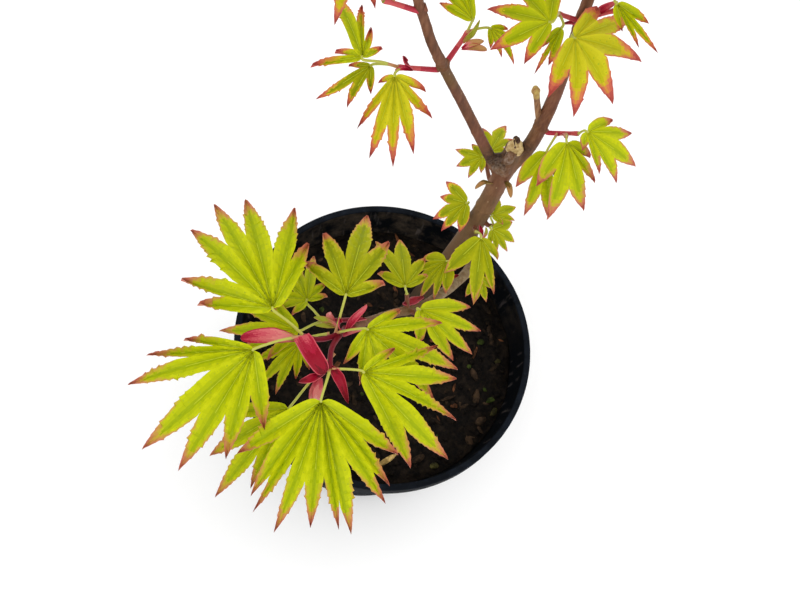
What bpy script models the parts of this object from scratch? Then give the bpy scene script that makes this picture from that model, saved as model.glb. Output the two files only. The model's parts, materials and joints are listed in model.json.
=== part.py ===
"""A young Japanese maple with two leaders and a low branch, in a round black nursery pot.

The pot stands on its flat underside, whose centre is the origin. X runs to the right of the
plant's front, Y to its back and Z up. Sizes are in millimetres until a mesh is made in metres.
"""
import math
import random
from collections import namedtuple

import bmesh
import bpy
from mathutils import Matrix, Vector
from mathutils.bvhtree import BVHTree

MM = 0.001
GAP = 0.3

# Nursery pot of three litres
POT_HEIGHT = 150.0
RIM_RADIUS = 95.0
RIM_BAND = 12.0
RIM_PROUD = 2.6
RIM_STEP = 2.0
RIM_EDGE = 0.8
LIP_DROP = 1.2
BASE_RADIUS = 72.5
BASE_CHAMFER = 2.5
WALL = 1.6
FLOOR = 2.0
POT_SEGMENTS = 48
HOLE_COUNT = 8
HOLE_RADIUS = 5.0
HOLE_RING = 56.0
HOLE_SIDES = 12

# Potting mix
SOIL_LEVEL = 128.0
SOIL_FLAT_RADIUS = 62.0
SOIL_EDGE_DROP = 3.0

# Wood: bends are the points that each limb passes through
Limb = namedtuple("Limb", "bends foot_radius tip_radius taper sides")
TRUNK_FLARE = 4.6
FLARE_HEIGHT = 9.0
LIMB_STEPS = 3
LIMBS = {
    "trunk": Limb(
        [(0, 2, SOIL_LEVEL + GAP), (3, 5, 141), (22, 26, 178), (34, 37, 215), (40, 42, 250), (43, 45, 283),
         (46, 51, 323)],
        6.9, 5.0, 0.6, 12),
    "leader_left": Limb(
        [(44, 48, 298), (33, 49, 315), (11, 51, 362), (-4, 46, 400), (-15, 43, 432), (-27, 47, 475),
         (-40, 60, 580)],
        4.4, 1.0, 0.75, 8),
    "leader_right": Limb(
        [(45, 49, 303), (53, 52, 322), (57, 59, 350), (58, 68, 385), (57, 74, 418), (58, 84, 470),
         (66, 98, 575)],
        4.4, 1.1, 0.9, 8),
    "low_branch": Limb(
        [(39, 40, 238), (40, 25, 241), (34, 11, 245), (10, -12, 257), (-13, -27, 279), (-35, -45.5, 312)],
        3.9, 2.1, 1.0, 8),
}
STUB_TWIG = Limb([(50.6, 56.6, 339), (49.2, 57.8, 352), (46.5, 60, 366)], 1.7, 1.5, 1.0, 6)
KNOB_RADIUS = 2.5
KNOB_TIP_RADIUS = 1.0

# A height that stands for a limb's tip
AT_TIP = 1000.0

# Foliage: a mass is a stem that leaves a limb, with leaves on stalks
# height: where the stem leaves the limb, turn: turn from X seen from above, rise: angle above level
Mass = namedtuple("Mass", "name limb height turn rise reach leaves")
# along: place on the stem, swing: turn of the blade from its stalk, dip: fall of the blade,
# spread: angle between lobes. One lobe makes a bract.
Leaf = namedtuple("Leaf", "along turn rise stalk swing dip roll blade lobes spread")
STEM_RADIUS = (1.5, 1.0)
STEM_SIDES = 4
STALK_RADIUS = 0.65
STALK_SIDES = 3
STALK_CREST = 0.06
BLADE_THICKNESS = 0.8
NECK_LENGTH = 3.0
NECK_HALF_WIDTH = 0.7
NECK_DEPTH = 0.45
LOBE_REACH = (1.0, 0.97, 0.84, 0.6)
LOBE_WIDTH = 0.105
SHOULDER = 0.6
SINUS = 0.47
LOBE_SHARE = 0.46
HEEL = 0.16
HEEL_WIDENING = 1.3
BRACT_WIDTH = 0.17
CLEARANCE = 0.6
DROOP = 0.16
SIDE_DROOP = 0.1

SHOWN_MASSES = [
    Mass("leaves_low_tip", "low_branch", AT_TIP, 205, 38, 33, [
        Leaf(0.95, 154, 37, 23, -35, 6, 0, 56, 7, 18),
        Leaf(1.0, 212, 33, 30, 12, 4, 0, 64, 7, 17),
        Leaf(0.35, 196, -18, 17, 49, 20, 0, 29, 5, 22),
        Leaf(0.2, 90, 62, 20, -13, 12, 0, 41, 5, 30),
        Leaf(0.2, 336, 49, 18, 4, 10, 0, 46, 7, 20),
        Leaf(0.9, 180, 10, 2, 0, -8, 0, 27, 1, 0),
        Leaf(0.98, 304, 20, 2, 0, -14, 0, 21, 1, 0)]),
    Mass("leaves_low_front", "low_branch", 305, 246, 41, 42, [
        Leaf(0.95, 342, 36, 16, -16, 10, 0, 50, 7, 20),
        Leaf(1.0, 252, 38, 23, 16, 2, 0, 59, 7, 18),
        Leaf(0.5, 224, -4, 40, 8, 8, 0, 50, 7, 20),
        Leaf(0.98, 192, 2, 2, 0, -4, 0, 13, 1, 0),
        Leaf(0.9, 301, -5, 2, 0, 4, 0, 15, 1, 0)]),
    Mass("leaves_low_back", "low_branch", 301, 198, 36, 24, [
        Leaf(1.0, 138, 8, 12, -56, 15, 0, 22, 5, 28),
        Leaf(0.95, 212, 28, 14, -32, 5, 0, 36, 7, 22)]),
    Mass("leaves_mid_back", "low_branch", 268, 100, 45, 5, [
        Leaf(0.9, 100, 38, 9, -5, 16, 0, 28, 5, 32)]),
    Mass("leaves_mid_front", "low_branch", 267, 300, 45, 5, [
        Leaf(0.9, 300, 32, 7, 32, 10, 0, 35, 7, 20)]),
    Mass("leaves_near_back", "low_branch", 249, 140, 55, 6, [
        Leaf(0.9, 165, 42, 8, 12, 24, 0, 22, 5, 30)]),
    Mass("leaves_near_front", "low_branch", 244, 330, 5, 5, [
        Leaf(0.9, 300, 0, 4, -30, 15, 0, 21, 5, 28)]),
    Mass("leaves_trunk_front", "trunk", 252, 262, 55, 7, [
        Leaf(0.9, 265, 58, 16, -3, 6, -8, 35, 5, 28)]),
    Mass("leaves_trunk_left", "trunk", 252, 170, 40, 5, [
        Leaf(0.9, 165, 42, 7, 36, 22, 0, 23, 5, 32)]),
    Mass("leaves_trunk_right", "trunk", 254, 330, 45, 4, [
        Leaf(1.0, 5, 50, 7, 45, 4, 0, 20, 5, 27),
        Leaf(0.8, 320, 10, 6, 5, 28, 0, 18, 5, 30)]),
    Mass("leaves_fork_back", "trunk", 286, 110, 30, 9, [
        Leaf(0.95, 150, 10, 6, 35, 14, 0, 21, 5, 32),
        Leaf(0.95, 80, 40, 7, -5, 8, 0, 21, 5, 32)]),
    Mass("leaves_right_side", "leader_right", 337, 335, 40, 17, [
        Leaf(1.0, 330, 60, 11, -3, 8, 0, 31, 7, 24),
        Leaf(0.6, 258, 30, 15, 26, 16, 0, 37, 7, 20),
        Leaf(0.3, 241, 10, 14, 9, 16, 0, 36, 5, 25)]),
    Mass("leaves_right_front", "leader_right", 405, 243, 40, 10, [
        Leaf(1.0, 243, 42, 19, 85, 6, 0, 36, 7, 28)]),
    Mass("leaves_right_left", "leader_right", 408, 200, 38, 13, [
        Leaf(1.0, 222, 42, 17, -32, 5, 0, 29, 7, 30),
        Leaf(1.0, 265, 15, 8, -28, 36, 0, 25, 3, 16)]),
    Mass("leaves_right_outer", "leader_right", 410, 350, 42, 11, [
        Leaf(1.0, 243, 58, 21, 70, 5, 35, 27, 5, 16)]),
    Mass("leaves_left_side", "leader_left", 400, 190, 15, 18, [
        Leaf(1.0, 178, 25, 16, -57, 4, 0, 26, 7, 27),
        Leaf(0.95, 168, -25, 13, 47, 14, 0, 28, 7, 27),
        Leaf(0.9, 250, 30, 9, 17, 12, 0, 40, 7, 18)]),
    Mass("leaves_left_inner", "leader_left", 402, 55, 22, 14, [
        Leaf(1.0, 20, 30, 8, -30, 10, 0, 14, 5, 26),
        Leaf(0.9, 95, 35, 26, 150, 10, 0, 20, 5, 26)]),
    Mass("leaves_left_hang", "leader_left", 446, 190, 30, 17, [
        Leaf(1.0, 130, 30, 18, 132, 14, 0, 29, 7, 24),
        Leaf(0.7, 110, 30, 14, -10, 10, 0, 30, 7, 28)]),
]

# The upper crown grows by one rule: pairs of shoots, each pair a quarter turn on from the last
CROWN_SEED = 7
CROWN_PAIRS = {"leader_left": (478, 512, 546), "leader_right": (448, 487, 530)}
PAIR_TURN = {"leader_left": 95.0, "leader_right": 20.0}
SHOOT_REACH = (18.0, 30.0)
SHOOT_RISE = (22.0, 45.0)
CROWN_BLADE = (28.0, 38.0)
CROWN_STALK = (12.0, 22.0)
SHOOT_STRAY = 12.0
TOP_RISE = 72.0
TOP_REACH = 20.0
# Each leaf of a shoot: its place along the shoot and its turn away from it
LEAF_TURNS = ((0.5, 80.0), (1.0, 42.0), (1.0, -42.0))
LEAF_TRIES = 8
LEAF_STRAY = 18.0
CROWN_RISE = (5.0, 40.0)
CROWN_SWING = 20.0
CROWN_DIP = (4.0, 26.0)
CROWN_ROLL = 14.0
CROWN_LOBES = (5, 7, 7)
CROWN_SPREAD = {5: (27.0, 33.0), 7: (20.0, 25.0)}
# The crown's front face leans forward above this line
FRONT_Y = 64.0
FRONT_Z = 430.0
FRONT_SLOPE = 0.7

COLOURS = {
    "plastic": ((0.012, 0.014, 0.017), 0.45),
    "soil": ((0.030, 0.020, 0.013), 0.95),
    "bark": ((0.155, 0.085, 0.055), 0.75),
    "leaf": ((0.420, 0.500, 0.020), 0.55),
}


def clear_scene():
    for item in list(bpy.data.objects):
        bpy.data.objects.remove(item)


def make_material(name):
    colour, roughness = COLOURS[name]
    material = bpy.data.materials.new(name)
    material.use_nodes = True
    shader = material.node_tree.nodes["Principled BSDF"]
    shader.inputs["Base Color"].default_value = (*colour, 1.0)
    shader.inputs["Roughness"].default_value = roughness
    shader.inputs["Metallic"].default_value = 0.0
    return material


def add_object(name, points, faces, material, collection=None):
    """An object from points in millimetres, with its faces turned outwards."""
    mesh = bpy.data.meshes.new(name)
    mesh.from_pydata([Vector(p) * MM for p in points], [], faces)
    tidy = bmesh.new()
    tidy.from_mesh(mesh)
    bmesh.ops.recalc_face_normals(tidy, faces=tidy.faces)
    tidy.to_mesh(mesh)
    tidy.free()
    mesh.materials.append(material)
    item = bpy.data.objects.new(name, mesh)
    (collection or bpy.context.scene.collection).objects.link(item)
    return item


def bake_modifiers(item):
    """Replace an object's mesh with the one its modifiers make."""
    graph = bpy.context.evaluated_depsgraph_get()
    result = bpy.data.meshes.new_from_object(item.evaluated_get(graph))
    item.modifiers.clear()
    item.data = result


def heading(turn, rise):
    """Unit vector for a turn from X, seen from above, and an angle above level, in degrees."""
    flat = math.cos(math.radians(rise))
    return Vector((flat * math.cos(math.radians(turn)), flat * math.sin(math.radians(turn)),
                   math.sin(math.radians(rise))))


def smooth_curve(bends, steps):
    """Points on a Catmull-Rom curve through the bends."""
    knots = [Vector(b) for b in bends]
    knots = [2 * knots[0] - knots[1], *knots, 2 * knots[-1] - knots[-2]]
    points = []
    for before, start, end, after in zip(knots, knots[1:], knots[2:], knots[3:]):
        for step in range(steps):
            t = step / steps
            points.append(0.5 * (2 * start + (end - before) * t
                                 + (2 * before - 5 * start + 4 * end - after) * t ** 2
                                 + (3 * start - before - 3 * end + after) * t ** 3))
    points.append(knots[-2])
    return points


def tube(points, radii, sides):
    """Points and faces of a closed tube round a line of points, with flat ends."""
    rings = []
    side = Vector((1, 0, 0))
    for index, point in enumerate(points):
        before = points[max(index - 1, 0)]
        after = points[min(index + 1, len(points) - 1)]
        along = (after - before).normalized()
        side = (side - along * side.dot(along)).normalized()
        across = along.cross(side)
        for corner in range(sides):
            angle = math.tau * corner / sides
            rings.append(point + radii[index] * (side * math.cos(angle) + across * math.sin(angle)))
    faces = [list(range(sides))[::-1], list(range(len(rings) - sides, len(rings)))]
    for ring in range(len(points) - 1):
        for corner in range(sides):
            start = ring * sides
            after = (corner + 1) % sides
            faces.append([start + corner, start + after, start + sides + after, start + sides + corner])
    return rings, faces


def limb_line(limb):
    """The points of a limb and its radius at each."""
    points = smooth_curve(limb.bends, LIMB_STEPS)
    last = len(points) - 1
    radii = [limb.foot_radius + (limb.tip_radius - limb.foot_radius) * (i / last) ** limb.taper
             for i in range(last + 1)]
    return points, radii


def place_on_limb(limb, height):
    """Centre, direction and radius where a limb passes a height, or at its tip."""
    points, radii = limb_line(limb)
    for start, end, first, second in zip(points, points[1:], radii, radii[1:]):
        if end.z >= height:
            part = (height - start.z) / (end.z - start.z)
            return start.lerp(end, part), (end - start).normalized(), first + (second - first) * part
    return points[-1], (points[-1] - points[-2]).normalized(), radii[-1]


def lathe(name, profile, segments, material):
    """A closed solid of revolution from a closed profile of (radius, height)."""
    points = []
    faces = []
    rings = []
    for radius, height in profile:
        if radius == 0:
            rings.append([len(points)])
            points.append((0, 0, height))
            continue
        rings.append(list(range(len(points), len(points) + segments)))
        for segment in range(segments):
            angle = math.tau * segment / segments
            points.append((radius * math.cos(angle), radius * math.sin(angle), height))
    for ring, following in zip(rings, rings[1:]):
        for segment in range(segments):
            after = (segment + 1) % segments
            if len(ring) == 1:
                faces.append([ring[0], following[segment], following[after]])
            elif len(following) == 1:
                faces.append([ring[segment], following[0], ring[after]])
            else:
                faces.append([ring[segment], following[segment], following[after], ring[after]])
    return add_object(name, points, faces, material)


def inner_radius(height):
    """Inside radius of the pot's wall at a height."""
    neck = RIM_RADIUS - RIM_PROUD
    return BASE_RADIUS + (neck - BASE_RADIUS) * height / POT_HEIGHT - WALL


def make_pot(material):
    neck = RIM_RADIUS - RIM_PROUD
    band_foot = POT_HEIGHT - RIM_BAND
    neck_radius = BASE_RADIUS + (neck - BASE_RADIUS) * band_foot / POT_HEIGHT
    profile = [(0, 0), (BASE_RADIUS - BASE_CHAMFER, 0), (BASE_RADIUS, BASE_CHAMFER),
               (neck_radius, band_foot - RIM_STEP), (RIM_RADIUS - RIM_EDGE, band_foot),
               (RIM_RADIUS, POT_HEIGHT - RIM_STEP), (RIM_RADIUS - RIM_EDGE, POT_HEIGHT - 0.5 * RIM_EDGE),
               (RIM_RADIUS - RIM_STEP, POT_HEIGHT), (inner_radius(POT_HEIGHT), POT_HEIGHT - LIP_DROP),
               (inner_radius(FLOOR), FLOOR), (0, FLOOR)]
    pot = lathe("pot", profile, POT_SEGMENTS, material)
    drains = bpy.data.collections.new("drains")
    for hole in range(HOLE_COUNT):
        angle = math.tau * hole / HOLE_COUNT
        centre = Vector((HOLE_RING * math.cos(angle), HOLE_RING * math.sin(angle), 0))
        line = [centre + Vector((0, 0, -FLOOR)), centre + Vector((0, 0, 2 * FLOOR))]
        rings, faces = tube(line, [HOLE_RADIUS, HOLE_RADIUS], HOLE_SIDES)
        add_object("drain_%d" % hole, rings, faces, material, drains)
    join_collection(pot, drains, "DIFFERENCE")
    return pot


def make_soil(material):
    low = FLOOR + GAP
    edge = SOIL_LEVEL - SOIL_EDGE_DROP
    profile = [(0, low), (inner_radius(low) - 2 * GAP, low), (inner_radius(edge) - 2 * GAP, edge),
               (SOIL_FLAT_RADIUS, SOIL_LEVEL), (0, SOIL_LEVEL)]
    return lathe("soil", profile, POT_SEGMENTS, material)


def join_collection(item, collection, operation):
    """Apply one Boolean with a whole collection, then remove the collection's objects."""
    boolean = item.modifiers.new("join", "BOOLEAN")
    boolean.operation = operation
    boolean.operand_type = "COLLECTION"
    boolean.collection = collection
    boolean.solver = "EXACT"
    bpy.context.scene.collection.children.link(collection)
    bake_modifiers(item)
    for piece in list(collection.objects):
        bpy.data.objects.remove(piece)
    bpy.data.collections.remove(collection)


def trunk_radii(points, radii, growth):
    """Radii with the root flare at the foot, grown all round by a clearance."""
    foot = points[0].z
    return [r + growth + TRUNK_FLARE * math.exp(-(p.z - foot) / FLARE_HEIGHT) for p, r in zip(points, radii)]


def trunk_solid(name, growth, material, collection=None):
    limb = LIMBS["trunk"]
    points, radii = limb_line(limb)
    rings, faces = tube(points, trunk_radii(points, radii, growth), limb.sides)
    for corner in range(limb.sides):
        rings[corner].z = points[0].z
    return add_object(name, rings, faces, material, collection)


def make_limbs(material):
    """The trunk, boughs whose feet are cut to lie just clear of it, and the twig by its pruned stub."""
    trunk_solid("trunk", 0.0, material)
    for name, limb in LIMBS.items():
        if name == "trunk":
            continue
        points, radii = limb_line(limb)
        bough = add_object(name, *tube(points, radii, limb.sides), material)
        guide = bpy.data.collections.new("guide")
        trunk_solid("guide", GAP, material, guide)
        join_collection(bough, guide, "DIFFERENCE")
    points, radii = limb_line(STUB_TWIG)
    last = len(points) - 1
    tip = points[last]
    along = (tip - points[last - 1]).normalized()
    points = points[:last] + [tip, tip + along * KNOB_RADIUS, tip + along * 2 * KNOB_RADIUS]
    radii = radii[:last] + [radii[last], KNOB_RADIUS, KNOB_TIP_RADIUS]
    add_object("stub_twig", *tube(points, radii, STUB_TWIG.sides), material)


def blade_frame(base, turn, dip, roll):
    """Axes of a blade at its base: X along its middle lobe, Z out of its face."""
    forward = heading(turn, -dip)
    left = Vector((0, 0, 1)).cross(forward).normalized()
    up = forward.cross(left)
    tilt = Matrix.Rotation(math.radians(roll), 3, forward)
    frame = Matrix((forward, tilt @ left, tilt @ up)).transposed().to_4x4()
    frame.translation = base
    return frame


def bent(size, across, along):
    """Height of the blade's face, which falls away towards its tips and sides."""
    return -DROOP * (along ** 2 + across ** 2) / size - SIDE_DROOP * across ** 2 / size


def blade_outline(leaf):
    """Corners of a leaf or bract as (along, across), from one side of its base to the other."""
    size = leaf.blade
    if leaf.lobes == 1:
        half = BRACT_WIDTH * size
        return [(0, -half * 0.5), (size * 0.5, -half), (size, 0), (size * 0.5, half), (0, half * 0.5)]
    side = leaf.lobes // 2
    corners = []

    def corner(radius, angle):
        corners.append((radius * math.cos(angle), radius * math.sin(angle)))

    step = math.radians(leaf.spread)
    for lobe in range(-side, side + 1):
        reach = size * LOBE_REACH[abs(lobe)]
        turned = lobe * step
        half = min(math.atan2(LOBE_WIDTH * size, SHOULDER * reach), LOBE_SHARE * step)
        if lobe == -side:
            corner(HEEL * size, turned - HEEL_WIDENING * half)
        corner(SHOULDER * reach, turned - half)
        corner(reach, turned)
        corner(SHOULDER * reach, turned + half)
        if lobe == side:
            corner(HEEL * size, turned + HEEL_WIDENING * half)
        else:
            corner(SINUS * size * LOBE_REACH[max(abs(lobe), abs(lobe + 1))], turned + 0.5 * step)
    return corners


def blade_faces(leaf, frame):
    """The upper face of a blade, a fan of triangles round its base, with a short neck behind."""
    neck = [(-NECK_LENGTH, -NECK_HALF_WIDTH), *blade_outline(leaf), (-NECK_LENGTH, NECK_HALF_WIDTH)]
    points = [frame.translation.copy()]
    for along, across in neck:
        points.append(frame @ Vector((along, across, bent(leaf.blade, across, max(along, 0)))))
    last = len(points) - 1
    fan = [[0, i, i + 1] for i in range(1, last)]
    fan.append([0, last, 1])
    return points, fan


def blade_solid(leaf, frame):
    """A blade with its thickness, closed all round."""
    upper, fan = blade_faces(leaf, frame)
    count = len(upper)
    below = frame.to_3x3() @ Vector((0, 0, -BLADE_THICKNESS))
    points = upper + [p + below for p in upper]
    faces = fan + [[a + count, c + count, b + count] for a, b, c in fan]
    for index in range(1, count):
        after = index % (count - 1) + 1
        faces.append([index, index + count, after + count, after])
    return points, faces


def stem_line(mass):
    """The line of a mass's stem, which starts just clear of its limb."""
    centre, along, radius = place_on_limb(LIMBS[mass.limb], mass.height)
    way = heading(mass.turn, mass.rise)
    if mass.height == AT_TIP:
        start = centre + along * GAP
        outward = along
    else:
        outward = (way - along * way.dot(along)).normalized()
        start = centre + outward * (radius + GAP)
    bend = start + outward * STEM_RADIUS[0]
    return [start, bend, bend + way * mass.reach * 0.5, bend + way * mass.reach]


def stem_point(line, along):
    """A place on the straight part of a stem."""
    return line[1].lerp(line[-1], along)


def leaf_place(leaf, line):
    """The line of a leaf's stalk, from inside the stem to its neck, and the blade's frame."""
    start = stem_point(line, leaf.along)
    base = start + heading(leaf.turn, leaf.rise) * leaf.stalk
    frame = blade_frame(base, leaf.turn + leaf.swing, leaf.dip, leaf.roll)
    neck = frame @ Vector((-NECK_DEPTH * NECK_LENGTH, 0, -0.5 * BLADE_THICKNESS))
    crest = start.lerp(neck, 0.5) + Vector((0, 0, STALK_CREST * leaf.stalk))
    return [start, crest, neck], frame


def blade_surface(leaf, frame):
    """A blade's faces a little above and below it, to test what it would touch."""
    points, fan = blade_faces(leaf, frame)
    lifted = [p + frame.to_3x3() @ Vector((0, 0, CLEARANCE)) for p in points]
    sunk = [p - frame.to_3x3() @ Vector((0, 0, CLEARANCE + BLADE_THICKNESS)) for p in points]
    count = len(points)
    return BVHTree.FromPolygons(lifted + sunk, fan + [[i + count for i in face] for face in fan])


def tube_surface(points, radius):
    rings, faces = tube(points, [radius] * len(points), STEM_SIDES)
    return BVHTree.FromPolygons(rings, faces)


class Space:
    """What the limbs and the masses already take up."""

    def __init__(self):
        self.taken = []
        for name, limb in LIMBS.items():
            points, radii = limb_line(limb)
            if name == "trunk":
                radii = trunk_radii(points, radii, 0.0)
            rings, faces = tube(points, [r + 2 * GAP for r in radii], limb.sides)
            self.take(name, "wood", BVHTree.FromPolygons(rings, faces))
        self.take("stub_twig", "wood", tube_surface(limb_line(STUB_TWIG)[0], KNOB_RADIUS + GAP))

    def take(self, owner, kind, surface):
        self.taken.append((owner, kind, surface))

    def free(self, owner, kind, surface):
        """True where a piece touches no other owner's, and no blade touches another blade."""
        for other, other_kind, taken in self.taken:
            if (other != owner or kind == other_kind == "blade") and taken.overlap(surface):
                return False
        return True

    def take_leaf(self, mass, leaf, line):
        """Take a leaf's space if all of it is free."""
        stalk, frame = leaf_place(leaf, line)
        kind = "bract" if leaf.lobes == 1 else "blade"
        blade = blade_surface(leaf, frame)
        twig = tube_surface(stalk[1:], STALK_RADIUS + GAP)
        if not (self.free(mass.name, kind, blade) and self.free(mass.name, "stalk", twig)):
            return False
        self.take(mass.name, kind, blade)
        self.take(mass.name, "stalk", twig)
        return True


def in_front(points):
    """True where a point would stand in front of the upper crown's front face."""
    return any(p.y < FRONT_Y - FRONT_SLOPE * (p.z - FRONT_Z) for p in points)


def crown_leaf(chance, along, turn):
    """One leaf of the upper crown, drawn by chance round a given turn."""
    lobes = chance.choice(CROWN_LOBES)
    return Leaf(along, turn + chance.uniform(-LEAF_STRAY, LEAF_STRAY), chance.uniform(*CROWN_RISE),
                chance.uniform(*CROWN_STALK), chance.uniform(-CROWN_SWING, CROWN_SWING),
                chance.uniform(*CROWN_DIP), chance.uniform(-CROWN_ROLL, CROWN_ROLL),
                chance.uniform(*CROWN_BLADE), lobes, chance.uniform(*CROWN_SPREAD[lobes]))


def crown_masses():
    """The shoots of the upper crown, with the leaves that each would carry."""
    chance = random.Random(CROWN_SEED)
    masses = []
    for limb, places in CROWN_PAIRS.items():
        side = limb.split("_")[1]
        for pair, height in enumerate(places):
            for half in range(2):
                turn = PAIR_TURN[limb] + 90 * pair + 180 * half + chance.uniform(-SHOOT_STRAY, SHOOT_STRAY)
                name = "leaves_%s_%d%s" % (side, pair + 1, "ab"[half])
                masses.append(Mass(name, limb, height, turn, chance.uniform(*SHOOT_RISE),
                                   chance.uniform(*SHOOT_REACH), crown_tries(chance, turn)))
        turn = PAIR_TURN[limb] + 90 * len(places)
        top = crown_tries(chance, turn) + crown_tries(chance, turn + 180)
        masses.append(Mass("leaves_%s_top" % side, limb, AT_TIP, turn, TOP_RISE, TOP_REACH, top))
    return masses


def crown_tries(chance, turn):
    """Several draws for each leaf of a shoot: one at its middle, a pair at its end."""
    return [[crown_leaf(chance, along, turn + offset) for _ in range(LEAF_TRIES)]
            for along, offset in LEAF_TURNS]


def grow_masses():
    """Every mass with its stem line and the leaves that find room."""
    space = Space()
    grown = []
    for mass in SHOWN_MASSES:
        line = stem_line(mass)
        kept = [leaf for leaf in mass.leaves if space.take_leaf(mass, leaf, line)]
        space.take(mass.name, "stem", tube_surface(line[1:], STEM_RADIUS[0] + GAP))
        grown.append((mass, line, kept))
    for mass in crown_masses():
        line = stem_line(mass)
        stem = tube_surface(line[1:], STEM_RADIUS[0] + GAP)
        if in_front(line[1:]) or not space.free(mass.limb, "stem", stem):
            continue
        kept = []
        for draws in mass.leaves:
            for leaf in draws:
                if in_front(blade_faces(leaf, leaf_place(leaf, line)[1])[0]):
                    continue
                if space.take_leaf(mass, leaf, line):
                    kept.append(leaf)
                    break
        if kept:
            space.take(mass.name, "stem", stem)
            grown.append((mass, line, kept))
    return grown


def make_mass(mass, line, leaves, material):
    """One solid: the stem, with stalks and blades fused to it."""
    base, tip = STEM_RADIUS
    stem = add_object(mass.name, *tube(line, [base, base, (base + tip) / 2, tip], STEM_SIDES), material)
    pieces = bpy.data.collections.new(mass.name)
    for number, leaf in enumerate(leaves):
        stalk, frame = leaf_place(leaf, line)
        add_object("stalk_%d" % number, *tube(stalk, [STALK_RADIUS] * len(stalk), STALK_SIDES), material,
                   pieces)
        add_object("blade_%d" % number, *blade_solid(leaf, frame), material, pieces)
    join_collection(stem, pieces, "UNION")


def build():
    clear_scene()
    materials = {name: make_material(name) for name in COLOURS}
    make_pot(materials["plastic"])
    make_soil(materials["soil"])
    make_limbs(materials["bark"])
    for mass, line, leaves in grow_masses():
        make_mass(mass, line, leaves, materials["leaf"])


build()
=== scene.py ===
"""Looks of a young potted Japanese maple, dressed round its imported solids.

The limbs and the masses of leaves grow by the same sizes and the same seeded rule as the solids do,
so every leaf lies where its plain solid lies. Sizes are in millimetres until a mesh is made.
"""
import json
import math
import random
from collections import namedtuple

import bmesh
import bpy
import numpy as np
from mathutils import Matrix, Vector, noise
from mathutils.bvhtree import BVHTree

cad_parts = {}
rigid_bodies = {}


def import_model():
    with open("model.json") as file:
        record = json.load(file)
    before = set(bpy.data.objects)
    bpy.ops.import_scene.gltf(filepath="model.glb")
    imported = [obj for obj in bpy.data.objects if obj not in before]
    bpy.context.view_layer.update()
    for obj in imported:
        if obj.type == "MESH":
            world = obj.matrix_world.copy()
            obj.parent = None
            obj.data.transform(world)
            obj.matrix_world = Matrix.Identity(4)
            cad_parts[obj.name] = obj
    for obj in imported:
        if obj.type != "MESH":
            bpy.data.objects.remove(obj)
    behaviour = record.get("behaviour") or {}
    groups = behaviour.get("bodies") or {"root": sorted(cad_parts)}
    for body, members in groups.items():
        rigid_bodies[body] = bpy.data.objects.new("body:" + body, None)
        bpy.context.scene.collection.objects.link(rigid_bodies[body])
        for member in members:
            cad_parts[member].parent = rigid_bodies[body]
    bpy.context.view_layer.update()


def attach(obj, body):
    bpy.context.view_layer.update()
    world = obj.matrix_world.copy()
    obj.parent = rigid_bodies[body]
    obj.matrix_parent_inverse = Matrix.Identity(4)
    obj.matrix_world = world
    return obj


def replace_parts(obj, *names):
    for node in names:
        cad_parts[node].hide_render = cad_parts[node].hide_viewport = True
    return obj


MM = 0.001
GAP = 0.3

# Nursery pot of three litres
POT_HEIGHT = 150.0
RIM_RADIUS = 95.0
RIM_BAND = 12.0
RIM_PROUD = 2.6
BASE_RADIUS = 72.5
BASE_CHAMFER = 2.5
WALL = 1.6
FLOOR = 2.0
POT_SEGMENTS = 192
HOLE_COUNT = 8
HOLE_RADIUS = 5.0
HOLE_RING = 56.0
HOLE_SIDES = 32

# Potting mix
SOIL_LEVEL = 128.0
SOIL_EDGE_DROP = 3.0

# Wood: bends are the points that each limb passes through
Limb = namedtuple("Limb", "bends foot_radius tip_radius taper sides")
TRUNK_FLARE = 4.6
FLARE_HEIGHT = 9.0
LIMB_STEPS = 3
LIMBS = {
    "trunk": Limb(
        [(0, 2, SOIL_LEVEL + GAP), (3, 5, 141), (22, 26, 178), (34, 37, 215), (40, 42, 250), (43, 45, 283),
         (46, 51, 323)],
        6.9, 5.0, 0.6, 12),
    "leader_left": Limb(
        [(44, 48, 298), (33, 49, 315), (11, 51, 362), (-4, 46, 400), (-15, 43, 432), (-27, 47, 475),
         (-40, 60, 580)],
        4.4, 1.0, 0.75, 8),
    "leader_right": Limb(
        [(45, 49, 303), (53, 52, 322), (57, 59, 350), (58, 68, 385), (57, 74, 418), (58, 84, 470),
         (66, 98, 575)],
        4.4, 1.1, 0.9, 8),
    "low_branch": Limb(
        [(39, 40, 238), (40, 25, 241), (34, 11, 245), (10, -12, 257), (-13, -27, 279), (-35, -45.5, 312)],
        3.9, 2.1, 1.0, 8),
}
# The leaders as they show, a little apart from their plain solids
SHOWN_LIMBS = dict(
    LIMBS,
    leader_left=Limb(
        [(44, 48, 298), (34.3, 49, 315), (11.4, 51, 362), (-4.4, 46, 400), (-16.8, 43, 432), (-29, 47, 475),
         (-40, 60, 580)],
        3.7, 1.9, 0.55, 8),
    leader_right=LIMBS["leader_right"]._replace(tip_radius=1.9),
    low_branch=LIMBS["low_branch"]._replace(foot_radius=3.3))
STUB_TWIG = Limb([(50.6, 56.6, 339), (49.2, 57.8, 352), (46.5, 60, 366)], 1.7, 1.5, 1.0, 6)
KNOB_RADIUS = 2.5

# The young twig beside the stub as it shows, from inside its leader to the knob at its end
TWIG_LINE = [(56, 58, 336), (54.2, 58.4, 341), (51.4, 58.7, 349), (48.9, 58.8, 357), (47.2, 58.9, 362.5),
             (46.3, 59, 365), (45.5, 59.2, 367.5)]
TWIG_RADII = (1.9, 1.9, 1.65, 1.5, 1.7, 2.2, 1.3)
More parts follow.
